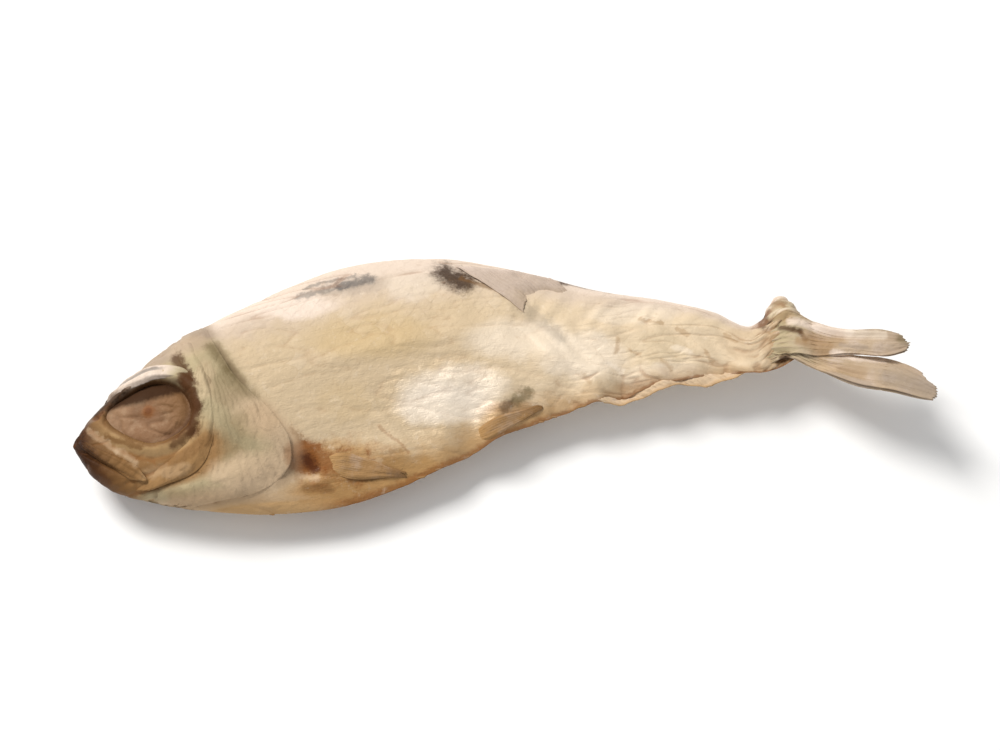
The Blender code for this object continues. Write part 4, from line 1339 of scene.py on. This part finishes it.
def skin_material(colours, name, plate=False):
    """The fish's skin: creamy silver flank, pinkish back, golden belly edge and brown head; painted shade in
    its creases, along the gill slit, in the eye's socket and in a few patches and marks, and painted
    highlights on fold crests, the brow and a few patches.
    """
    paint = Paint(name)
    along_true, high_true = paint.attribute("along"), paint.attribute("high")
    share, gill, eye, girth = (paint.attribute(word) for word in ("share", "gill", "eye", "girth"))
    cheek, dip = paint.attribute("cheek"), paint.attribute("dip")
    place = paint.place()
    wander = paint.noise(place, 0.16, 3.0)
    drift = paint.noise(place, 0.42, 4.0)
    grain = paint.noise(place, 1.5, 5.0, 0.65)
    fine = paint.noise(place, 4.2, 4.0, 0.7)
    streaks = paint.noise(paint.vector(along_true * 0.13, girth * 1.05), 1.0, 4.0, 0.6)
    length = TOTAL_LENGTH / MM
    along = along_true + wander * 1.3 + drift * 0.9
    high = high_true + drift * 0.8 + grain * 0.3
    station = along / length
    body = paint.smooth(-0.3, 1.6, gill + grain * 0.3)

    flat = paint.vector(along, high)
    ragged = paint.noise(place, 0.9, 4.0, 0.7)
    loose = paint.vector(along_true + drift * 0.55 + grain * 0.20, high_true + ragged * 0.50)
    fray = ragged * 0.35 + grain * 0.55 + fine * 0.30

    def patched(tint, patches):
        for at, centre, half_along, half_height, word, strength in patches:
            patch = paint.oval(flat, (at * length, centre), (half_along, half_height), 0.15)
            tint = paint.blend(tint, getattr(colours, word), patch * strength)
        return tint

    def marked(tint, marks):
        for start, low, end, top, half, word, strength in marks:
            mark = paint.stroke(loose, (start * length, low), (end * length, top), half, fray)
            tint = paint.blend(tint, getattr(colours, word), mark * strength)
        return tint

    base = paint.blend(colours.flank, colours.rear, paint.smooth(0.42, 0.60, station))
    back = paint.smooth(0.30, 0.75, share + drift * 0.16)
    base = paint.blend(base, colours.pink, back * 0.6)
    base = patched(base, FLANK_PATCHES)
    base = paint.blend(base, colours.lid, paint.smooth(0.70, 0.86, share + grain * 0.05) * 0.6)
    lines = paint.smooth(0.35, 0.75, streaks) * paint.smooth(0.66, 0.82, share)
    base = paint.blend(base, colours.slate, lines * paint.smooth(0.26, 0.34, station) * 0.42)
    belly = paint.smooth(-0.66, -0.93, share + drift * 0.10) * paint.smooth(0.62, 0.54, station)
    base = paint.blend(base, colours.gold, belly * 0.8)
    stain = paint.noise(place, 0.55, 4.0, 0.7)
    smear = paint.oval(flat, (0.305 * length, -3.8), (7.4, 3.7))
    base = paint.blend(base, colours.rust, smear * paint.smooth(-0.2, 0.5, stain) * 0.85)
    frill = paint.smooth(-0.68, -0.94, share + drift * 0.12) * paint.smooth(0.52, 0.60, station)
    base = paint.blend(base, colours.gold, frill * 0.45)
    keel = paint.smooth(-0.93, -0.985, share + grain * 0.03) * paint.smooth(0.26, 0.32, station)
    base = paint.blend(base, colours.rust, keel * 0.7)
    oily = paint.smooth(0.25, 0.85, paint.noise(place, 0.50, 5.0, 0.7))
    base = paint.blend(base, colours.gold, oily * 0.16)
    base = marked(base, FLANK_MARKS)

    head = paint.blend(colours.cheek, colours.cover, paint.smooth(-8.5, -5.0, gill + drift))
    rim = paint.smooth(-4.4, -1.2, gill + drift * 1.1) * paint.smooth(6.5, 1.5, high_true)
    head = paint.blend(head, colours.cover_edge, rim * 0.95)
    crown = paint.smooth(0.50, 0.74, share + drift * 0.1)
    head = paint.blend(head, colours.crown, crown * 0.95)
    head = patched(head, HEAD_PATCHES)
    lower = paint.smooth(-0.30, -0.70, share + drift * 0.08) * paint.smooth(0.105, 0.060, station)
    head = paint.blend(head, colours.jaw, lower * 0.9)
    keel_line = paint.smooth(-0.80, -0.93, share) * paint.band(0.115, 0.215, 0.015, station)
    head = paint.blend(head, colours.cheek, keel_line * 0.30)
    snout = paint.smooth(0.062, 0.010, station + high_true * 0.002)
    head = paint.blend(head, mix(colours.umber, colours.blood, 0.45), snout * 0.95)
    ring = paint.smooth(0.92, 1.00, eye) * paint.smooth(1.16, 1.03, eye + grain * 0.05)
    behind = paint.smooth(9.5, 12.5, along_true)
    brow = paint.smooth(5.2, 6.6, high_true) * paint.smooth(6.0, 7.5, along_true)
    # Painted highlight: the brow over the socket is lightened only where it stands high over the table, on
    # the upper flank that faces the light
    lit_brow = brow * paint.smooth(4.8, 6.8, paint.level(place))
    head = paint.blend(head, colours.ring, ring * (1 - brow) * (0.45 + behind * 0.45))
    brow_highlight = paint.band(1.04, 1.34, 0.12, eye + grain * 0.04) * lit_brow * (1 - behind)
    head = paint.blend(head, colours.lid, brow_highlight * 0.36)
    # Inside the socket the skin takes the ring's brown, and is darkened further as painted shade in the gap
    # round the eye
    head = paint.blend(head, colours.ring, paint.smooth(1.0, 0.9, eye) * 0.95)
    under_eye = paint.band(1.16, 1.36, 0.10, eye + drift * 0.06) * paint.smooth(2.2, -0.6, high_true)
    head = paint.blend(head, colours.straw, under_eye * 0.25)
    below = paint.band(1.50, 1.68, 0.10, eye + drift * 0.08) * paint.smooth(0.4, -1.6, high_true)
    head = paint.blend(head, colours.jaw, below * 0.50)
    head = marked(head, HEAD_MARKS)
    seam = paint.smooth(-0.9, 0.1, cheek) * 0.30 if plate else paint.smooth(0.8, 0.1, abs(cheek - 0.25))
    head = paint.blend(head, colours.ring, seam * 0.4)
    dirt = paint.smooth(0.10, 0.75, paint.noise(place, 1.1, 5.0, 0.75))
    head = paint.blend(head, colours.jaw, dirt * 0.30)

    tint = paint.blend(head, base, body)
    # Painted shade: the ring's brown along the gill cover's rear edge, in the slit under it; stronger at the
    # two notches, where dark marks lie too
    notch = paint.oval(flat, (0.187 * length, 7.4), (3.2, 4.2))
    notch = notch + paint.oval(flat, (0.250 * length, -4.2), (3.0, 2.2))
    slit_shade = paint.smooth(0.9, 0.1, abs(gill - 0.1)) * (0.10 + paint.clip(notch) * 0.26)
    tint = paint.blend(tint, colours.ring, slit_shade * (0.35 if plate else 1.0))

    tilt, pick = scale_pattern(paint)
    clad = body * paint.smooth(-0.45, 0.45, wander + drift * 0.4)
    clad = clad * paint.smooth(0.80, 0.70, along_true / length)
    clad = clad * (1 - belly * 0.8) * (1 - smear * 0.8)
    edge = paint.smooth(0.88, 0.99, tilt)
    tint = paint.blend(tint, colours.shine, paint.smooth(0.70, 1.0, pick) * clad * 0.12)
    tint = paint.blend(tint, colours.cheek, edge * clad * 0.08)
    # Painted shade: the rust tone darkens the creases of the folds, where shade falls; the same crease mask
    # also roughens them below
    cracks = paint.smooth(-0.045, -0.15, dip)
    tint = paint.blend(tint, colours.rust, cracks * 0.34)
    # Painted highlight: the crests of the folds are lightened towards the lid's pinkish white
    raised = paint.smooth(0.03, 0.14, dip)
    tint = paint.blend(tint, colours.lid, raised * 0.22 * body)
    specks = paint.smooth(0.60, 1.0, paint.noise(place, 2.4, 3.0, 0.8))
    tint = paint.blend(tint, colours.rust, specks * 0.30)
    pale = paint.smooth(0.35, 1.0, paint.noise(place, 3.1, 3.0, 0.8))
    tint = paint.blend(tint, colours.lid, pale * 0.22)
    tint = paint.blend(tint, colours.shine, paint.smooth(0.15, 0.80, ragged) * body * 0.30)
    tint = paint.blend(tint, colours.cheek, paint.smooth(-0.20, -0.85, ragged) * body * 0.26)

    bright = paint.oval(flat, (0.435 * length, 3.0), (11.0, 6.0))
    silver = (bright * 0.55 + 0.30) * body
    rough = paint.clip(0.56 - silver * 0.20 + grain * 0.08 + cracks * 0.15 - belly * 0.08)
    wrinkles = paint.noise(paint.vector(along_true * 0.50 + girth * 0.22, girth * 1.55), 1.0, 5.0, 0.62)
    ripples = paint.noise(paint.vector(along_true * 1.3 - girth * 0.30, girth * 0.75), 1.0, 4.0, 0.6)
    bumps = fine * 0.014 + grain * 0.026 + wrinkles * 0.050 * body + ripples * 0.022
    bumps = bumps + tilt * clad * 0.018 - edge * clad * 0.008
    if plate:
        fan = paint.math("ARCTAN2", high_true - 11.0, along_true - 15.0)
        striae = paint.math("SINE", fan * 96.0 + drift * 5.0) * paint.smooth(9.0, 2.0, high_true)
        bumps = bumps + striae * (0.030 + grain * 0.030)
    return paint.surface(base_color=tint, roughness=rough, metallic=paint.clip(silver * 0.18),
                         specular_ior_level=0.09, coat_weight=paint.clip(silver * 0.22), coat_roughness=0.30,
                         normal=paint.relief(bumps))


def eye_material(colours, name):
    """Shrunken eye: dull pinkish brown and crumpled, with a small dark-red dot, a brown ring behind, painted
    shade where it sinks in and a painted shadow under the lid.
    """
    paint = Paint(name)
    reach, behind, above, deep = (paint.attribute(word) for word in ("reach", "behind", "above", "deep"))
    place = paint.place()
    grain = paint.noise(place, 2.0, 5.0, 0.7)
    patch = paint.noise(place, 0.55, 4.0, 0.6)
    tint = paint.blend(colours.iris, colours.cover_edge, paint.smooth(-0.1, 0.8, patch + grain * 0.3) * 0.35)
    tint = paint.blend(tint, colours.cover_edge, paint.smooth(-1.6, -4.2, behind) * 0.12)
    tint = paint.blend(tint, colours.jaw, paint.smooth(-0.05, -0.75, patch) * 0.35)
    # Painted shade: the ring's brown darkens the eye where its crumpled dome sinks in
    tint = paint.blend(tint, colours.ring, paint.smooth(-0.02, -0.30, deep) * 0.45)
    brown = paint.smooth(-0.4, 3.0, behind + above * 0.75 + patch * 0.6)
    tint = paint.blend(tint, colours.jaw, brown * 0.55)
    rear = paint.smooth(0.2, 3.4, behind)
    rim = paint.smooth(0.76, 0.98, reach + grain * 0.06) * (0.18 + rear * 0.70)
    tint = paint.blend(tint, colours.ring, rim)
    uneven = (behind + 0.35 + grain * 0.3) ** 2.0 + (above * 1.2 + grain * 0.2) ** 2.0
    halo = paint.smooth(1.6, 0.3, uneven ** 0.5)
    tint = paint.blend(tint, colours.rust, halo * 0.32)
    dot = paint.smooth(0.95, 0.25, ((behind + 0.35) ** 2.0 + above ** 2.0) ** 0.5 + grain * 0.16)
    tint = paint.blend(tint, colours.rust, dot * 0.75)
    tint = paint.blend(tint, colours.blood, dot ** 4.0 * 0.45)
    # Painted shadow: a dark umber wedge across the top of the eye, under the lid
    lid_shadow = paint.smooth(0.85, 1.75, above - behind * 0.12 + grain * 0.25 + patch * 0.25)
    tint = paint.blend(tint, colours.umber, lid_shadow * 0.93)
    return paint.surface(base_color=tint, roughness=paint.clip(0.50 + grain * 0.12 + lid_shadow * 0.3),
                         specular_ior_level=0.12, normal=paint.relief(grain * 0.040 + patch * 0.03))


def lid_material(colours, name):
    """Bright, parchment-like lid with a brown free edge; grey painted shade in the crescent groove along it,
    and painted shade where it lies low over the table.
    """
    paint = Paint(name)
    across, run = paint.attribute("across"), paint.attribute("run")
    place = paint.place()
    grain = paint.noise(place, 1.6, 5.0, 0.7)
    tint = paint.blend(colours.lid, colours.crown, paint.smooth(-0.8, 0.8, grain) * 0.55)
    # Painted shade: slate grey in the crescent groove along the lid
    crescent = paint.band(0.46, 0.58, 0.09, across + grain * 0.04 + paint.math("SINE", run * 3.0) * 0.10)
    tint = paint.blend(tint, colours.slate, crescent * paint.band(0.36, 0.72, 0.14, run) * 0.62)
    tint = paint.blend(tint, colours.cover, paint.smooth(0.26, 0.10, run + grain * 0.06) * 0.9)
    tint = paint.blend(tint, colours.ring, paint.smooth(0.72, 0.92, run + grain * 0.05) * 0.6)
    tint = paint.blend(tint, colours.crown, paint.smooth(0.30, 0.0, across + grain * 0.06) * 0.85)
    # Painted shade: the lid is darkened to the crown's tone where it lies low over the table, on the lower
    # side
    tint = paint.blend(tint, colours.crown, paint.smooth(6.4, 4.4, paint.level(place)) * 0.9)
    tint = paint.blend(tint, colours.umber, paint.smooth(0.94, 1.0, across + grain * 0.02) * 0.6)
    return paint.surface(base_color=tint, roughness=paint.clip(0.48 + grain * 0.08), specular_ior_level=0.16,
                         coat_weight=0.04, coat_roughness=0.35, normal=paint.relief(grain * 0.05))


# Marks on the tail, as seen from above, one of them painted shade: (x and y in mm of both ends, half width in
# mm, colour, strength)
TAIL_MARKS = (
    (30.6, 5.2, 30.5, 3.6, 0.50, "ring", 0.75),
    (31.7, 2.8, 33.6, 2.0, 0.32, "ring", 0.80),
    (33.6, 2.0, 34.2, 1.1, 0.30, "ring", 0.60),
    (31.5, -0.5, 32.1, -0.5, 0.34, "ring", 0.75),
    (34.4, 1.6, 37.6, 0.6, 0.70, "cheek", 0.38),
    (35.2, -2.0, 39.4, -3.4, 0.80, "cheek", 0.30),
    (35.0, 0.6, 36.0, -0.2, 0.95, "cheek", 0.60),
    (33.3, 0.9, 33.9, 0.7, 0.45, "cheek", 0.55),
    (31.2, 4.8, 32.4, 3.9, 0.70, "cheek", 0.50),
    (32.7, 3.4, 35.7, 2.6, 0.45, "lid", 0.75),
    (35.7, 2.6, 38.9, 1.6, 0.60, "lid", 0.80),
    (38.9, 1.5, 42.5, 0.8, 0.50, "shine", 0.45),
    (37.7, 0.1, 40.5, -0.6, 0.22, "crown", 0.80),
    (36.9, -0.7, 39.1, -1.5, 0.32, "lid", 0.75),
    (39.1, -1.5, 42.3, -2.2, 0.34, "lid", 0.65),
    (33.3, -1.9, 36.8, -2.6, 0.42, "cover_edge", 0.50),
    (35.9, -3.2, 40.4, -5.2, 0.30, "crown", 0.60),
    # Painted shade: slate on the lower lobe's end, which bends down
    (42.6, -4.6, 46.4, -6.3, 1.10, "slate", 0.30),
    (44.4, 0.1, 45.0, -0.1, 0.60, "moss", 0.60),
)


def fin_material(colours, name, root, tone, tip, streaks, marks=()):
    """A dried fin: papery, streaky membrane that starts as the skin does, browner rays and a coloured tip."""
    paint = Paint(name)
    run, bone, pick = (paint.attribute(word) for word in ("run", "bone", "pick"))
    place = paint.place()
    grain = paint.noise(place, 1.9, 5.0, 0.7)
    patch = paint.noise(place, 0.50, 4.0, 0.6)
    tint = paint.blend(tone, colours.pink, paint.smooth(-0.2, 0.7, patch) * 0.55 * streaks)
    bands = paint.noise(paint.vector(pick * 6.0 + patch * 0.25, run * 1.6, 3.0), 1.0, 4.0, 0.65)
    tint = paint.blend(tint, colours.lid, paint.smooth(0.15, 0.9, bands) * 0.70 * streaks)
    tint = paint.blend(tint, colours.jaw, paint.smooth(-0.15, -0.9, bands) * 0.55 * streaks)
    tint = paint.blend(tint, colours.ray, paint.smooth(0.45, 0.95, bone) * 0.22 * streaks)
    tint = paint.blend(tint, colours.jaw, paint.smooth(0.20, 0.9, grain + patch * 0.4) * 0.36)
    tint = paint.blend(tint, tip, paint.smooth(0.66, 1.0, run + grain * 0.07 + patch * 0.08) * 0.65)
    tint = paint.blend(tint, colours.lid, paint.smooth(0.3, 0.9, paint.noise(place, 3.0, 3.0)) * 0.30)
    tint = paint.blend(tint, root, paint.smooth(0.42, 0.10, run + grain * 0.07 + bands * 0.08) * 0.92)
    soiled = paint.smooth(0.35, 0.95, -patch) * paint.smooth(0.45, 0.10, run)
    tint = paint.blend(tint, colours.ring, soiled * 0.35)
    x, y, _ = paint.axes(place)
    loose = paint.vector(x + patch * 0.4, y + grain * 0.16)
    for start_x, start_y, end_x, end_y, half, word, strength in marks:
        mark = paint.stroke(loose, (start_x, start_y), (end_x, end_y), half, grain * 0.4)
        tint = paint.blend(tint, getattr(colours, word), mark * strength)
    bumps = grain * 0.034 + paint.noise(place, 6.0, 3.0) * 0.008 + patch * 0.05
    return paint.surface(base_color=tint, roughness=paint.clip(0.56 + grain * 0.08),
                         specular_ior_level=0.14, normal=paint.relief(bumps))


def floor_material():
    """Plain pale board with a barely visible unevenness."""
    paint = Paint("pale floor")
    place = paint.place()
    cloud = paint.noise(place, 0.012, 2.0)
    tint = paint.blend((0.92, 0.915, 0.91), (0.90, 0.90, 0.895), paint.smooth(-0.6, 0.6, cloud))
    bumps = paint.noise(place, 0.8, 4.0) * 0.004
    return paint.surface(base_color=tint, roughness=0.7, normal=paint.relief(bumps))


def material_of(make, colours, name, **look):
    """The material of this name, made on first use."""
    return bpy.data.materials.get(name) or make(colours, name, **look)


def belly_fin(colours):
    """The material of the fins and scales along the belly."""
    return material_of(fin_material, colours, "dried belly fin", root=colours.gold, tone=colours.cheek,
                       tip=colours.jaw, streaks=0.55)


def settings(context):
    """The sizes and the colours that the user set."""
    scene = context.scene
    return scene.sardine_sizes, scene.sardine_colours


# ---------------------------------------------------------------- operators
class SARDINE_OT_skin(bpy.types.Operator):
    """Makes the skin of body and head"""
    bl_idname = "sardine.skin"
    bl_label = "Skin"

    def execute(self, context):
        sizes, colours = settings(context)
        make_skin(sizes, material_of(skin_material, colours, "dried skin"))
        return {"FINISHED"}


class SARDINE_OT_head_plates(bpy.types.Operator):
    """Makes the gill covers, the cheek plates and the upper jaw's blades"""
    bl_idname = "sardine.head_plates"
    bl_label = "Head plates"

    def execute(self, context):
        sizes, colours = settings(context)
        bony = material_of(skin_material, colours, "head plates", plate=True)
        for side in SIDES:
            make_gill_cover(side, sizes, bony)
            make_cheek(side, sizes, bony)
            make_jaw(side, sizes, bony)
        return {"FINISHED"}


class SARDINE_OT_eyes(bpy.types.Operator):
    """Makes the shrunken eyes and the lids over them"""
    bl_idname = "sardine.eyes"
    bl_label = "Eyes"

    def execute(self, context):
        sizes, colours = settings(context)
        eye = material_of(eye_material, colours, "shrunken eye")
        lid = material_of(lid_material, colours, "dried eyelid")
        for side in SIDES:
            make_eye(side, eye)
            make_eyelid(side, lid)
        return {"FINISHED"}


class SARDINE_OT_fins(bpy.types.Operator):
    """Makes the folded fins of back, breast and belly, and the tail"""
    bl_idname = "sardine.fins"
    bl_label = "Fins"

    def execute(self, context):
        sizes, colours = settings(context)
        pale = material_of(fin_material, colours, "dried fin", root=colours.pink,
                           tone=mix(colours.crown, colours.pink, 0.45), tip=colours.membrane, streaks=0.65)
        tail = material_of(fin_material, colours, "dried tail fin", root=colours.cover,
                           tone=colours.membrane, tip=colours.crown, streaks=1.1, marks=TAIL_MARKS)
        cream = material_of(fin_material, colours, "dried anal fin", root=colours.rear,
                            tone=colours.cover_edge, tip=colours.gold, streaks=0.90)
        brown = belly_fin(colours)
        make_fin("dorsal_fin", dorsal_place, sizes, pale,
                 rays=16, steps=(150, 60), fray=0.10, notch=0.006, stout=0.8)
        make_fin("anal_fin", anal_place, sizes, cream,
                 rays=24, steps=(190, 14), fray=0.14, notch=0.03, stout=1.0)
        for side, word in SIDES.items():
            make_fin("pelvic_fin_" + word, pelvic_place(side), sizes, brown,
                     rays=8, steps=(50, 50), fray=0.12, notch=0.02, stout=0.42)
            make_fin("pectoral_fin_" + word, pectoral_place(side), sizes, brown,
                     rays=13, steps=(90, 60), fray=0.12, notch=0.02, stout=0.42)
            for level, margins, lean, rays in (("upper", UPPER_LOBE, LOBE_SPREAD[0], 9),
                                               ("lower", LOWER_LOBE, LOBE_SPREAD[1], 10)):
                make_fin("tail_lobe_" + level + "_" + word, lobe_place(margins, lean, side), sizes, tail,
                         rays=rays, steps=(8 * rays, 110), fray=0.05, notch=0.012, stout=0.9)
        return {"FINISHED"}


class SARDINE_OT_keel(bpy.types.Operator):
    """Makes the pointed scales of the keel"""
    bl_idname = "sardine.keel"
    bl_label = "Keel"

    def execute(self, context):
        sizes, colours = settings(context)
        make_scutes(sizes, belly_fin(colours))
        return {"FINISHED"}


class SARDINE_OT_stage(bpy.types.Operator):
    """Makes the floor, the lights and the camera"""
    bl_idname = "sardine.stage"
    bl_label = "Stage"

    def execute(self, context):
        look = context.scene.sardine_stage
        make_floor(look)
        make_lights(look)
        make_camera(look)
        return {"FINISHED"}


def make_floor(look):
    """A wide round floor."""
    shape = bmesh.new()
    bmesh.ops.create_circle(shape, cap_ends=True, segments=96, radius=look.floor_radius)
    bmesh.ops.translate(shape, verts=shape.verts, vec=(0.0, 0.0, -FLOOR_DROP))
    mesh = bpy.data.meshes.new("floor")
    shape.to_mesh(mesh)
    shape.free()
    mesh.materials.append(floor_material())
    floor = bpy.data.objects.new("floor", mesh)
    bpy.context.scene.collection.objects.link(floor)


def area_light(name, power, place, size, tint):
    """A soft square light that faces the fish."""
    data = bpy.data.lights.new(name, "AREA")
    data.size = size
    data.energy = power
    data.color = tint
    lamp = bpy.data.objects.new(name, data)
    bpy.context.scene.collection.objects.link(lamp)
    lamp.location = place
    lamp.rotation_euler = (-Vector(place)).to_track_quat("-Z", "Y").to_euler()


def make_lights(look):
    """Even light from all round, a main light and a weak front light."""
    world = bpy.data.worlds.new("soft room")
    world.use_nodes = True
    sky = world.node_tree.nodes["Background"]
    sky.inputs["Color"].default_value = (1.0, 1.0, 1.0, 1.0)
    sky.inputs["Strength"].default_value = look.sky
    bpy.context.scene.world = world
    area_light("key", look.key_power, *KEY_LIGHT)
    area_light("fill", look.fill_power, *FILL_LIGHT)
    bpy.context.scene.view_settings.view_transform = "Standard"
    bpy.context.scene.view_settings.look = "None"


def make_camera(look):
    """The view from above that the lens and the angles give."""
    data = bpy.data.cameras.new("camera")
    data.lens = look.lens
    data.sensor_width = 36.0
    camera = bpy.data.objects.new("camera", data)
    bpy.context.scene.collection.objects.link(camera)
    level = math.cos(look.elevation)
    back = Vector((math.sin(look.azimuth) * level, -math.cos(look.azimuth) * level, math.sin(look.elevation)))
    reach = look.width_shown * data.lens / data.sensor_width
    camera.location = Vector(LOOKED_AT) + back * reach
    camera.rotation_euler = (-back).to_track_quat("-Z", "Y").to_euler()
    data.clip_start = 0.01
    bpy.context.scene.camera = camera


GROUPS = {"sardine_sizes": SardineSizes, "sardine_colours": SardineColours, "sardine_stage": SardineStage}
STEPS = (SARDINE_OT_skin, SARDINE_OT_head_plates, SARDINE_OT_eyes, SARDINE_OT_fins, SARDINE_OT_keel,
         SARDINE_OT_stage)


class SARDINE_PT_panel(bpy.types.Panel):
    """Lists the steps that build the dried sardine"""
    bl_idname = "SARDINE_PT_panel"
    bl_label = "Dried Sardine"
    bl_space_type = "VIEW_3D"
    bl_region_type = "UI"
    bl_category = "Sardine"

    def draw(self, context):
        for step in STEPS:
            self.layout.operator(step.bl_idname)
        for word in GROUPS:
            group = getattr(context.scene, word)
            box = self.layout.box()
            for name in group.__annotations__:
                box.prop(group, name)


def register():
    for group in GROUPS.values():
        bpy.utils.register_class(group)
    for step in (*STEPS, SARDINE_PT_panel):
        bpy.utils.register_class(step)
    for name, group in GROUPS.items():
        setattr(bpy.types.Scene, name, bpy.props.PointerProperty(type=group))


def unregister():
    for name in GROUPS:
        delattr(bpy.types.Scene, name)
    for step in (SARDINE_PT_panel, *reversed(STEPS), *reversed(list(GROUPS.values()))):
        bpy.utils.unregister_class(step)


def main():
    """Builds everything."""
    register()
    for name in ("skin", "head_plates", "eyes", "fins", "keel", "stage"):
        getattr(bpy.ops.sardine, name)()


if __name__ == "__main__":
    main()
